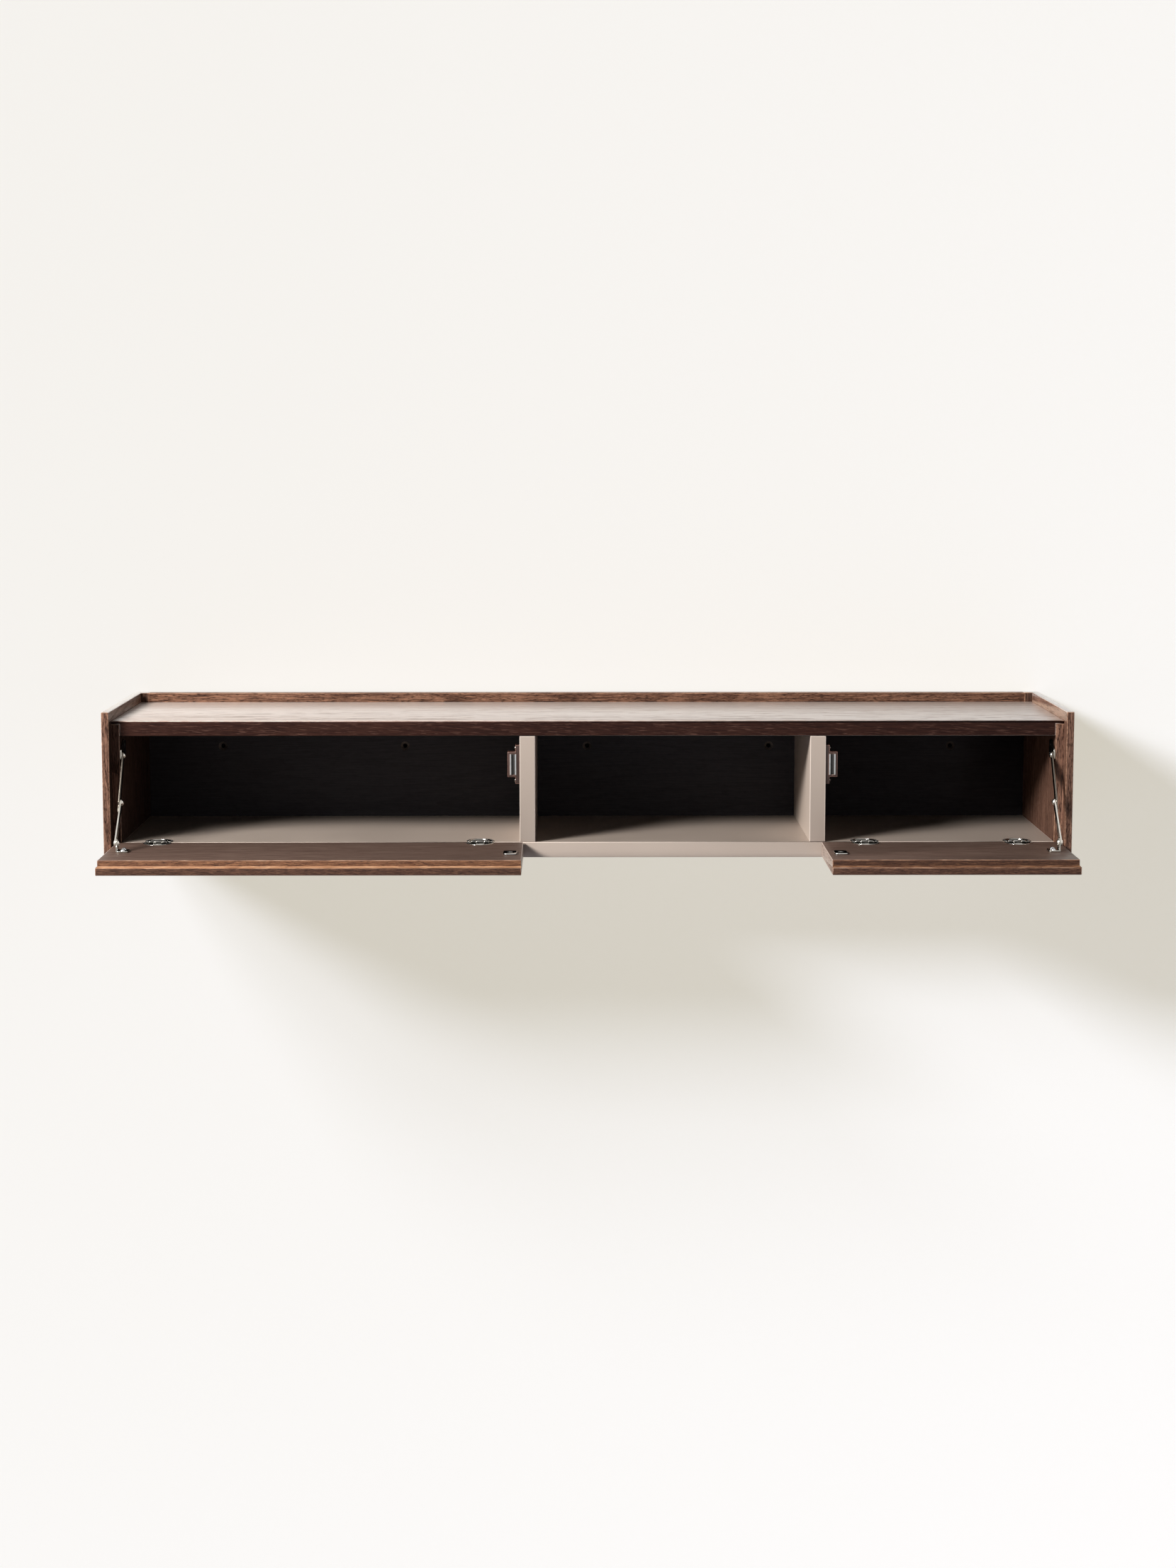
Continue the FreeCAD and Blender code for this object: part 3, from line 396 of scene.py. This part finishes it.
def lacquer(name, colour, shade_tone=None):
    """Sprayed satin lacquer: an even colour with a slight cloudiness and a fine orange peel. A tone
    given for the parts that look down goes there, and the colour elsewhere is then a painted
    highlight."""
    material, tree, shader = new_material(name)
    place = object_place(tree)
    cloud = noise(tree, place, detail=3.0, scale=14.0)
    peel = noise(tree, place, scale=900.0)
    colour = between(tree, ramp(tree, cloud, *CLOUD_TONES), dimmed(colour, 0.975), colour)
    if shade_tone:
        colour = shaded_below(tree, colour, shade_tone)
    set_shader(tree, shader, Base_Color=colour, Specular_IOR_Level=0.35,
               Roughness=ramp(tree, cloud, *CLOUD_GLOSS, *LACQUER_ROUGHNESS))
    bump(tree, shader, peel, LACQUER_RELIEF, strength=0.5)
    return material


def metal(name, colour, roughness, wear=0.08):
    """Plated metal: fine lines drawn along X, and a tone and a roughness that cloud over in places,
    the roughness by as much as wear."""
    material, tree, shader = new_material(name)
    place = object_place(tree)
    cloud = noise(tree, place, detail=3.0, scale=160.0)
    lines = noise(tree, stretched(tree, place, "X", *DRAWN_LINES))
    clouded = between(tree, ramp(tree, cloud, *METAL_CLOUD_TONES), colour, dimmed(colour, 0.8))
    set_shader(tree, shader, Metallic=1.0, Base_Color=clouded,
               Roughness=ramp(tree, cloud, *CLOUD_GLOSS, roughness, roughness + wear))
    bump(tree, shader, lines, METAL_RELIEF, strength=0.15)
    return material


def plastic(name, colour, roughness=0.36):
    """Moulded plastic: a fine spark-eroded texture and a little variation in its tone and gloss."""
    material, tree, shader = new_material(name)
    place = object_place(tree)
    texture = noise(tree, place, detail=3.0, scale=2600.0)
    cloud = noise(tree, place, scale=120.0)
    clouded = between(tree, ramp(tree, cloud, *CLOUD_TONES), dimmed(colour, 0.82), colour)
    set_shader(tree, shader, Base_Color=clouded,
               Roughness=ramp(tree, cloud, *CLOUD_GLOSS, roughness, roughness + 0.1))
    bump(tree, shader, texture, PLASTIC_RELIEF, strength=0.5)
    return material


WOOD_TONES = (linear(66, 43, 33), linear(124, 89, 73), linear(170, 129, 106))
DARK_PORE = linear(32, 19, 15)
# The pale tone of the painted sheen, a painted reflection of the bright room where one looks along
# the wood
SHEEN_GLARE = linear(252, 234, 222)
TAUPE = linear(192, 176, 163)

# An arris is the finish of a rounded edge: a paler tone that is a painted highlight along it, with
# a painted shade or the plain tone where the edge looks down
FINISHES = {
    # The top's glare is a painted sheen where one looks along it
    "top_veneer": wood("top_veneer", "X",
                       (linear(122, 88, 74), linear(150, 112, 96), linear(172, 134, 116)),
                       linear(92, 64, 54), figure=(0.5, 12, 14), late_depth=0.12,
                       fibres=(24, 240), pores=(34, 210), pore_edge=0.58, pore_share=0.7,
                       roughness=0.28, level=0.3, coat=1.0, glare=SHEEN_GLARE, streaks=0.42,
                       fine=0.12),
    # The rim's top and its inner face carry a painted sheen, near white on the top
    "rim_top": wood("rim_top", "Y",
                    (linear(116, 82, 68), linear(148, 110, 94), linear(170, 132, 114)),
                    DARK_PORE, fibres=(20, 500), pores=(30, 500), pore_share=0.3,
                    roughness=0.28, level=0.6, coat=1.0, glare=linear(255, 248, 240),
                    streaks=0.1),
    "rim_inside": wood("rim_inside", "Y",
                       (linear(92, 64, 51), linear(122, 89, 73), linear(146, 109, 90)),
                       linear(66, 44, 35), fibres=(26, 700), pores=(60, 700), pore_share=0.45,
                       roughness=0.45, coat=0.5, glare=linear(206, 174, 151)),
    # Painted shade in the rim's rear corner, on both sides
    "corner_shade": wood("corner_shade", "Z",
                         (linear(48, 31, 25), linear(84, 60, 49), linear(116, 88, 73)),
                         DARK_PORE, level=0.06),
    "top_edge": wood("top_edge", "X",
                     (linear(42, 23, 19), linear(56, 33, 27), linear(68, 42, 34)),
                     linear(108, 77, 66), figure=(1.2, 10, 6), fibres=(20, 900),
                     pores=(32, 1200), pore_edge=0.61, pore_share=0.7, crowding=0.02,
                     roughness=0.5, level=0.1, slant=0.04, shift=(0.3, 0.1, 0.0)),
    "lip_wood": wood("lip_wood", "X",
                     (linear(62, 40, 30), linear(112, 78, 61), linear(156, 115, 91)),
                     DARK_PORE, late_depth=0.06, fibres=(44, 1300), pores=(170, 1400),
                     pore_share=0.7, crowding=0.04, level=0.06, coat=0.8),
    "upright_wood": wood("upright_wood", "Z", WOOD_TONES, DARK_PORE, figure=(1.6, 30, 26),
                         fibres=(40, 1200), pores=(160, 1300), pore_share=0.8, level=0.06,
                         coat=1.0),
    # The left panel's inward face is darkened as a deep painted shade, and the left step and the
    # right panel's face in the bay a little less, as painted shade
    "upright_deep_painted_shade": wood("upright_deep_painted_shade", "Z",
                         (linear(38, 26, 21), linear(66, 48, 41), linear(88, 67, 57)),
                         DARK_PORE, roughness=0.6, level=0.06),
    "upright_painted_shade": wood("upright_painted_shade", "Z",
                        (linear(60, 40, 31), linear(104, 75, 62), linear(137, 103, 86)),
                        DARK_PORE, roughness=0.6, level=0.06),
    "flap_face": wood("flap_face", "X",
                      (linear(94, 74, 65), linear(107, 86, 76), linear(121, 100, 89)),
                      linear(76, 58, 50), figure=(0.6, 14, 14), late_depth=0.08,
                      fibres=(24, 320), pores=(40, 360), pore_edge=0.6, pore_share=0.4,
                      level=0.3, fine=0.1),
    "flap_front": wood("flap_front", "X",
                       (linear(70, 47, 37), linear(116, 83, 68), linear(150, 112, 92)),
                       DARK_PORE, figure=(0.9, 12, 18), fibres=(26, 900), pores=(90, 1100),
                       pore_share=0.7, crowding=0.05, coat=0.6),
    "back_outside": wood("back_outside", "X",
                         (linear(52, 42, 38), linear(60, 49, 44), linear(68, 56, 50)),
                         DARK_PORE, roughness=0.7, level=0.15),
    # The flaps' ends carry a painted sheen
    "flap_end": wood("flap_end", "Y", WOOD_TONES, DARK_PORE, level=0.4, coat=0.5,
                     glare=linear(186, 164, 150)),
    "flap_edge": wood("flap_edge", "X",
                      (linear(56, 35, 27), linear(86, 59, 47), linear(118, 84, 66)),
                      DARK_PORE, late_depth=0.06, fibres=(70, 1600), pores=(200, 1700),
                      pore_edge=0.58, crowding=0.04, slant=0.04, shift=(0.2, 0.0, 0.3)),
    # The boards' arris is a painted highlight with a painted shade where it looks down; under the
    # top's front edge that shade is a near-black painted shadow
    "wood_arris": wood("wood_arris", "X",
                       (linear(120, 84, 66), linear(160, 118, 92), linear(200, 158, 130)),
                       DARK_PORE, fibres=(60, 300), pores=(100, 500), pore_edge=0.64,
                       pore_share=0.3, roughness=0.28, level=0.3, coat=1.0, glare=SHEEN_GLARE,
                       shade_tone=linear(88, 60, 47)),
    "top_arris": wood("top_arris", "X",
                      (linear(214, 186, 170), linear(238, 216, 202), linear(250, 232, 220)),
                      linear(150, 112, 96), fibres=(60, 500), pores=(60, 700), pore_edge=0.62,
                      pore_share=0.3, level=0.1, shade_tone=linear(12, 7, 6)),
    # The top's underside and the back board in the bays are darkened as painted shade
    "inside_painted_shade": wood("inside_painted_shade", "X",
                        (linear(54, 52, 56), linear(59, 57, 61), linear(64, 62, 66)),
                        linear(49, 47, 51), pore_share=0.3, roughness=0.65),
    "bare_core": wood("bare_core", "X",
                      (linear(96, 90, 86), linear(106, 99, 94), linear(116, 108, 102)),
                      linear(80, 74, 70), pore_share=0.3, roughness=0.7),
    "taupe": lacquer("taupe_lacquer", TAUPE),
    # The paler lacquer on rounded edges is a painted highlight, plain taupe where they look down
    "taupe_arris": lacquer("taupe_arris", linear(232, 216, 203), shade_tone=TAUPE),
    # The nickel finishes are lit and shaded copies of one bright nickel: the brackets' is darkened
    # and the upper link's more so as painted shade, the lower link's and the rivets' are paler as
    # painted light for their glints, and the arrises are painted highlights. The cups' cast body is
    # darkened as painted shade, and their rims' brightness is partly polish and partly a painted
    # highlight.
    "nickel": metal("bright_nickel", linear(160, 155, 146), 0.12),
    "nickel_arris": metal("nickel_arris", linear(240, 236, 228), 0.1),
    "shaded_nickel": metal("shaded_nickel", linear(104, 98, 90), 0.16),
    "shaded_arris": metal("shaded_arris", linear(150, 140, 128), 0.14),
    "painted_light_nickel": metal("painted_light_nickel", linear(222, 217, 208), 0.12),
    "rivet_nickel": metal("rivet_nickel", linear(232, 228, 220), 0.12),
    "shaded_casting": metal("nickel_casting", linear(84, 82, 78), 0.12),
    "cup_rim": metal("cup_rim", linear(250, 248, 242), 0.28),
    "pin_steel": metal("pin_steel", linear(150, 150, 150), 0.2),
    "zinc": metal("zinc_plate", linear(206, 206, 208), 0.14),
    "screw_glint": metal("screw_glint", linear(248, 248, 246), 0.34),
    # The catch's screws are a darker zinc, a painted shade
    "painted_shade_screw": metal("painted_shade_screw", linear(96, 93, 90), 0.18),
    "pole": metal("pole_steel", linear(182, 185, 190), 0.2),
    "strike": metal("strike_plate", linear(138, 144, 148), 0.06, wear=0.04),
    "ferrite": plastic("ferrite", linear(44, 42, 40), 0.6),
    "brown_plastic": plastic("brown_plastic", linear(56, 33, 26)),
    # The housing's paler arris is a painted highlight along its rounded edges
    "brown_arris": plastic("brown_arris", linear(158, 118, 104), 0.25),
    "beech": wood("beech", "X",
                  (linear(190, 150, 112), linear(205, 168, 128), linear(218, 184, 146)),
                  linear(150, 110, 80), pore_share=0.3),
}

# The upper band and the cove of each flap's free edge. The right flap's tones are darker, a
# painted fall-off of the light from left to right, and the cove's pale tones are a painted
# highlight where it looks up
BAND_TONES_WITH_FALLOFF = {
    "left": (linear(80, 49, 33), linear(120, 80, 57), linear(156, 111, 80)),
    "right": (linear(50, 29, 20), linear(74, 47, 34), linear(108, 74, 54)),
}
COVE_HIGHLIGHT_TONES = {
    "left": (linear(168, 121, 88), linear(190, 142, 106), linear(210, 165, 128)),
    "right": (linear(84, 54, 38), linear(122, 84, 60), linear(164, 120, 88)),
}
for side_name, tones in BAND_TONES_WITH_FALLOFF.items():
    FINISHES[f"flap_band_{side_name}"] = wood(
        f"flap_band_{side_name}", "X", tones, DARK_PORE, late_depth=0.06, fibres=(70, 1600),
        pores=(200, 1700), pore_edge=0.58, crowding=0.04, slant=0.02, shift=(0.7, 0.0, 0.3))
for side_name, tones in COVE_HIGHLIGHT_TONES.items():
    FINISHES[f"flap_cove_{side_name}"] = wood(
        f"flap_cove_{side_name}", "X", tones, linear(104, 62, 40), late_depth=0.04,
        fibres=(50, 500), pores=(120, 900), pore_edge=0.62, pore_share=0.4, level=0.3,
        shift=(0.7, 0.0, 0.3))


# Finished copies of the CAD pieces

def make_whole(work, split):
    """Joins a CAD mesh's loose triangles into whole flat faces. split is a height at which the
    upright ones are parted, so that two finishes can meet there, or None."""
    bmesh.ops.remove_doubles(work, verts=work.verts, dist=SAME_CORNER)
    bmesh.ops.dissolve_limit(work, angle_limit=FLAT_TURN, verts=work.verts, edges=work.edges)
    if split is not None:
        everything = work.verts[:] + work.edges[:] + work.faces[:]
        bmesh.ops.bisect_plane(work, geom=everything, plane_co=(0, 0, split), plane_no=(0, 0, 1))


def choose_finishes(work, choose):
    """Gives each face the finish that choose tells from its outward direction and its middle, and
    returns the names of the finishes in the order of their numbers on the mesh."""
    names = []
    for face in work.faces:
        finish = choose(face.normal, face.calc_center_median())
        if finish not in names:
            names.append(finish)
        face.material_index = names.index(finish)
        face.smooth = True
    return names


def mark_edges(work, shortest, sharp_below):
    """Marks the outside edges to be rounded, apart from short ones and those that reach below a
    height, and keeps the other edges sharp where the surface turns there."""
    weights = work.edges.layers.float.new("bevel_weight_edge")
    for edge in work.edges:
        if len(edge.link_faces) != 2:
            continue
        turn = edge.calc_face_angle_signed(0.0)
        lowest = min(corner.co.z for corner in edge.verts)
        high_enough = lowest > sharp_below - HEIGHT_SLACK
        if turn > ROUNDED_TURN and edge.calc_length() > shortest and high_enough:
            edge[weights] = 1.0
        elif abs(turn) > SHARP_TURN:
            edge.smooth = False


def finished_copy(node_name, choose, arris, radius, segments, shortest=0.0, split=None,
                  sharp_below=-math.inf):
    """A copy of a CAD piece with whole faces in their own finishes and with rounded outside edges,
    which have the finish arris. It stands for the CAD piece and rides on the same body."""
    source = frame["nodes"][node_name]
    mesh = bpy.data.meshes.new(f"{node_name}_finished")
    work = bmesh.new()
    work.from_mesh(source.data)
    make_whole(work, split)
    names = choose_finishes(work, choose)
    mark_edges(work, shortest, sharp_below)
    work.to_mesh(mesh)
    work.free()
    for finish in names + [arris]:
        mesh.materials.append(FINISHES[finish])
    piece = bpy.data.objects.new(f"{node_name}_finished", mesh)
    bpy.context.scene.collection.objects.link(piece)
    rounding = piece.modifiers.new("rounded_edges", "BEVEL")
    rounding.limit_method = "WEIGHT"
    rounding.width = radius
    rounding.segments = segments
    rounding.use_clamp_overlap = False
    rounding.harden_normals = True
    rounding.material = len(names)
    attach(piece, source["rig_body"])
    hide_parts(node_name)
    return piece


def refinish(node_name, finish):
    """Gives a CAD piece that keeps its shape a better finish."""
    for holder in frame["nodes"][node_name].material_slots:
        holder.material = FINISHES[finish]


def plain(finish):
    """Chooses the same finish for every face."""
    return lambda normal, middle: finish


def top_finish(normal, middle):
    """The top panel's front edge, its upper face, and its underside in the bays, which is darkened
    as painted shade.
    """
    if normal.y < -ALONG:
        return "top_edge"
    return "top_veneer" if normal.z > ALONG else "inside_painted_shade"


def side_finish(normal, middle):
    """Above the top panel are the rim's top and its inner face, both with a painted sheen, and its
    rear corner, darkened as painted shade. Below it the left panel is darkened as a deep painted
    shade where it looks inwards, and the step behind its front edge and the right panel's face in
    the bay are darkened a little, as painted shade."""
    if normal.z > ALONG:
        return "rim_top"
    from_middle = abs(middle.x)
    looks_inwards = abs(normal.x) > ALONG and from_middle < OUTER_SIDE
    set_back = normal.y < -ALONG and from_middle < RIM_SIDE
    if middle.z > TOP_FACE and looks_inwards:
        return "rim_inside"
    if middle.z > TOP_FACE and set_back:
        return "corner_shade"
    on_left = middle.x < 0.0
    if on_left and looks_inwards:
        return "upright_deep_painted_shade"
    in_right_bay = looks_inwards and from_middle < BAY_SIDE
    if in_right_bay or (on_left and set_back):
        return "upright_painted_shade"
    return "upright_wood"


def back_finish(normal, middle):
    """The lip above the top panel, the bare wood of the fixing holes' countersinks, the plain rear
    face, and inside the bays a face darkened as painted shade."""
    if middle.z > TOP_FACE:
        return "lip_wood"
    least, most = COUNTERSINK_SLOPE
    if least < -normal.y < most:
        return "bare_core"
    return "back_outside" if normal.y > ALONG else "inside_painted_shade"


def flap_finish(normal, middle):
    """The flat faces, the ends with a painted sheen, and on the free edge an upper band, a cove
    with a painted highlight and a lower band. The cove's steepest faces go with the upper band. On
    the right flap the band and the cove are darker, a painted fall-off of the light."""
    side_name = "left" if middle.x < 0.0 else "right"
    if abs(normal.x) > ALONG:
        return "flap_end"
    cove_low, cove_high = COVE_HEIGHTS
    if middle.y < FLAP_EDGE and cove_low < middle.z < cove_high:
        part_name = "cove" if normal.z > COVE_STEEPEST else "band"
        return f"flap_{part_name}_{side_name}"
    if abs(normal.z) > ALONG:
        return "flap_face" if normal.z > 0.0 else "flap_front"
    return f"flap_band_{side_name}" if middle.z > FLAP_LEDGE else "flap_edge"


def cup_finish(normal, middle):
    """The flat top of a hinge cup's raised rim is bright, partly its polish and partly a painted
    highlight, and the rest is darkened as painted shade.
    """
    return "cup_rim" if normal.z > ALONG and middle.z > CUP_RIM_LEVEL else "shaded_casting"


# The hardware whose edges are rounded: the piece, how its finish is chosen, its arris, the material
# slot that it has in the record, and the radius in metres
ROUNDED_HARDWARE = [
    ("stay_case_bracket", plain("nickel"), "nickel_arris", "bright_nickel", 0.0003),
    ("stay_upper_link", plain("shaded_nickel"), "shaded_arris", "bright_nickel", 0.0004),
    ("stay_lower_link", plain("painted_light_nickel"), "nickel_arris", "bright_nickel", 0.0004),
    ("stay_flap_bracket", plain("nickel"), "nickel_arris", "bright_nickel", 0.0003),
    ("catch_housing", plain("brown_plastic"), "brown_arris", "brown_plastic", 0.0004),
    ("catch_pole_plates", plain("pole"), "nickel_arris", "pole_steel", 0.0002),
    ("catch_magnet", plain("ferrite"), "ferrite", "ferrite", 0.0003),
    ("strike_plate", plain("strike"), "nickel_arris", "pole_steel", 0.0005),
    ("hinge_case_cups", cup_finish, "nickel_arris", "nickel_casting", 0.0004),
    ("hinge_flap_cups", cup_finish, "nickel_arris", "nickel_casting", 0.0004),
]

# The hardware that keeps its CAD shape, and its finish
KEPT_HARDWARE = {
    "hinge_pins": "pin_steel",
    "hinge_case_screws": "zinc",
    "hinge_flap_screws": "zinc",
    "stay_case_screws": "zinc",
    "stay_flap_screws": "zinc",
    "stay_top_rivet": "rivet_nickel",
    "stay_knee_tail": "rivet_nickel",
    "stay_knee_rivet": "rivet_nickel",
    "stay_flap_rivet": "rivet_nickel",
    "catch_screws": "painted_shade_screw",
    "strike_screw": "screw_glint",
}


def dress_board(node_name, choose, arris, split=None, sharp_below=-math.inf):
    """One board with its finishes and its rounded edges."""
    piece = finished_copy(node_name, choose, arris, BOARD_RADIUS, BOARD_SEGMENTS,
                          BOARD_SHORTEST, split, sharp_below)


def dress_boards():
    """All boards. Below the top panel the back board's edges stay sharp, because a rounded rim
    would make its fixing holes too bright."""
    dress_board("top_panel", top_finish, "top_arris")
    dress_board("back_board", back_finish, "wood_arris", split=TOP_FACE,
                sharp_below=TOP_FACE)
    dress_board("bottom_panel", plain("taupe"), "taupe_arris")
    for side_name in SIDES:
        dress_board(f"side_panel_{side_name}", side_finish, "wood_arris",
                    split=TOP_FACE)
        dress_board(f"divider_{side_name}", plain("taupe"), "taupe_arris")
        dress_board(f"flap_{side_name}", flap_finish, "wood_arris")


def dress_hardware():
    """The hinges, stays, catches and strike plates of both sides, and what holds the case."""
    for side_name in SIDES:
        for piece_name, choose, arris, slot, radius in ROUNDED_HARDWARE:
            piece = finished_copy(f"{piece_name}_{side_name}", choose, arris, radius,
                                  HARDWARE_SEGMENTS)
        for piece_name, finish in KEPT_HARDWARE.items():
            refinish(f"{piece_name}_{side_name}", finish)
    refinish("case_dowels", "beech")
    refinish("back_board_screws", "zinc")


# The stage

def seen(tree):
    """1 for what the camera sees, straight or in a mirror or glass, and 0 for other rays."""
    path = lay(tree, "ShaderNodeLightPath")
    mirrored = sums(tree, "MAXIMUM", path.outputs["Is Glossy Ray"],
                    path.outputs["Is Transmission Ray"])
    return sums(tree, "MAXIMUM", path.outputs["Is Camera Ray"], mirrored)


def lamp_light(tree, facing):
    """The light that the lamps throw on a surface that faces along the vector given: for each lamp
    its strength, times the cosines at its two ends, over the square of the distance. The vector to
    the surface isn't made a unit long, so the fourth power of the distance divides it."""
    place = lay(tree, "ShaderNodeNewGeometry").outputs["Position"]
    total = 0.0
    for lamp in LAMPS.values():
        reach = Vector(lamp.aim) - Vector(lamp.stand)
        away = vector_sums(tree, "SUBTRACT", place, lamp.stand)
        distance = vector_sums(tree, "LENGTH", away)
        leaving = vector_sums(tree, "DOT_PRODUCT", away, tuple(reach.normalized()))
        arriving = vector_sums(tree, "DOT_PRODUCT", away, tuple(-part for part in facing))
        both = sums(tree, "MULTIPLY", sums(tree, "MAXIMUM", leaving, 0.0),
                    sums(tree, "MAXIMUM", arriving, 0.0))
        light = sums(tree, "DIVIDE", both, sums(tree, "POWER", distance, 4.0))
        light = sums(tree, "MULTIPLY", light, lamp.strength * reach.length_squared)
        total = sums(tree, "ADD", total, light)
    return sums(tree, "MAXIMUM", total, LEAST_LIGHT)


def backdrop_paint(name, facing):
    """Pale paint that shows its own glow besides the lamps' light, so a shadow on it stays light.
    The lamps' part is divided by their light there, so the paint looks even. Returns the material,
    its tree and the shader's output."""
    material, tree = bare_material(name)
    evened = lay(tree, "ShaderNodeVectorMath", operation="SCALE")
    evened.inputs[0].default_value = LAMP_PART
    fill_in(tree, evened.inputs["Scale"], sums(tree, "DIVIDE", 1.0, lamp_light(tree, facing)))
    diffuse = lay(tree, "ShaderNodeBsdfDiffuse", {"Color": evened.outputs[0]})
    glowing = lay(tree, "ShaderNodeEmission", {"Color": BACKDROP_GLOW, "Strength": seen(tree)})
    shown = lay(tree, "ShaderNodeAddShader")
    tree.links.new(diffuse.outputs[0], shown.inputs[0])
    tree.links.new(glowing.outputs[0], shown.inputs[1])
    return material, tree, shown.outputs[0]


def show(tree, shader_output):
    """Makes a shader the one that the surface shows."""
    out = lay(tree, "ShaderNodeOutputMaterial")
    tree.links.new(shader_output, out.inputs["Surface"])


def show_from_the_front(tree, shader_output):
    """Shows a shader to what looks at the wall from the room, and nothing from behind it."""
    front = sums(tree, "SUBTRACT", 1.0,
                 lay(tree, "ShaderNodeNewGeometry").outputs["Backfacing"])
    mixed = lay(tree, "ShaderNodeMixShader", {"Fac": sums(tree, "MULTIPLY", seen(tree), front)})
    tree.links.new(lay(tree, "ShaderNodeBsdfTransparent").outputs[0], mixed.inputs[1])
    tree.links.new(shader_output, mixed.inputs[2])
    show(tree, mixed.outputs[0])


def sheet(name, corners, faces):
    """Flat faces through the corners given, as part of the stage."""
    mesh = bpy.data.meshes.new(name)
    mesh.from_pydata(corners, [], faces)
    piece = bpy.data.objects.new(name, mesh)
    bpy.context.scene.collection.objects.link(piece)
    return piece


def make_wall():
    """A plain white wall that shows only from the front, so that the back can be looked at. Its
    middle, which the case covers, is a dark face, a painted shade behind the case, because the
    fixing holes look onto it."""
    box_low, box_high = cad_box
    left, right = box_low.x + COVERED_INSET, box_high.x - COVERED_INSET
    under, over = box_low.z + COVERED_INSET, box_high.z - COVERED_INSET
    outer = [(-WALL_HALF, FLOOR_LEVEL), (WALL_HALF, FLOOR_LEVEL), (WALL_HALF, WALL_TOP),
             (-WALL_HALF, WALL_TOP)]
    inner = [(left, under), (right, under), (right, over), (left, over)]
    corners = [(x, WALL_GAP, z) for x, z in outer + inner]
    around = [(0, 1, 5, 4), (1, 2, 6, 5), (2, 3, 7, 6), (3, 0, 4, 7)]
    middle = (4, 5, 6, 7)
    wall = sheet("wall", corners, around + [middle])
    paint, tree, shown = backdrop_paint("wall_paint", (0, -1, 0))
    show_from_the_front(tree, shown)
    covered, tree = bare_material("covered_wall")
    dim = lay(tree, "ShaderNodeBsdfDiffuse", {"Color": linear(*COVERED_TONE)})
    show_from_the_front(tree, dim.outputs[0])
    wall.data.materials.append(paint)
    wall.data.materials.append(covered)
    wall.data.polygons[len(around)].material_index = 1


def make_floor():
    """A plain pale floor."""
    half, level = FLOOR_HALF, FLOOR_LEVEL
    corners = [(-half, -half, level), (half, -half, level), (half, half, level),
               (-half, half, level)]
    floor = sheet("floor", corners, [(0, 1, 2, 3)])
    paint, tree, shown = backdrop_paint("floor_paint", (0, 0, 1))
    show(tree, shown)
    floor.data.materials.append(paint)


def make_world():
    """A white surround for what the camera sees, and an even, dimmer fill for the surfaces."""
    world = bpy.data.worlds.new("studio")
    bpy.context.scene.world = world
    world.use_nodes = True
    tree = world.node_tree
    tree.nodes.clear()
    strength = ramp(tree, seen(tree), 0.0, 1.0, FILL, 1.0)
    glow = lay(tree, "ShaderNodeBackground", {"Color": linear(*WORLD_TONE),
                                              "Strength": strength})
    out = lay(tree, "ShaderNodeOutputWorld")
    tree.links.new(glow.outputs[0], out.inputs["Surface"])


def make_lamps():
    """Soft boxes. A lamp's power is pi squared times the distance squared times its strength."""
    for name, lamp in LAMPS.items():
        reach = Vector(lamp.aim) - Vector(lamp.stand)
        light = bpy.data.lights.new(name, "AREA")
        light.shape = "ELLIPSE"
        light.size, light.size_y = lamp.size
        light.energy = lamp.strength * math.pi ** 2 * reach.length_squared
        light.color = LAMP_COLOUR
        holder = bpy.data.objects.new(name, light)
        bpy.context.scene.collection.objects.link(holder)
        holder.location = lamp.stand
        holder.rotation_euler = reach.to_track_quat("-Z", "Y").to_euler()


def make_camera():
    """The photograph's own viewpoint: almost square on, from a little above."""
    lens = bpy.data.cameras.new("camera")
    lens.lens = CAMERA_LENS
    lens.sensor_width = CAMERA_FRAME
    lens.sensor_fit = "AUTO"
    lens.clip_end = CAMERA_REACH
    camera = bpy.data.objects.new("camera", lens)
    bpy.context.scene.collection.objects.link(camera)
    camera.location = CAMERA_PLACE
    camera.rotation_euler = (math.radians(CAMERA_TILT), 0.0, math.radians(CAMERA_TURN))
    bpy.context.scene.camera = camera


make_camera()
dress_boards()
dress_hardware()
make_wall()
make_floor()
make_world()
make_lamps()
bpy.context.scene.view_settings.view_transform = "Standard"
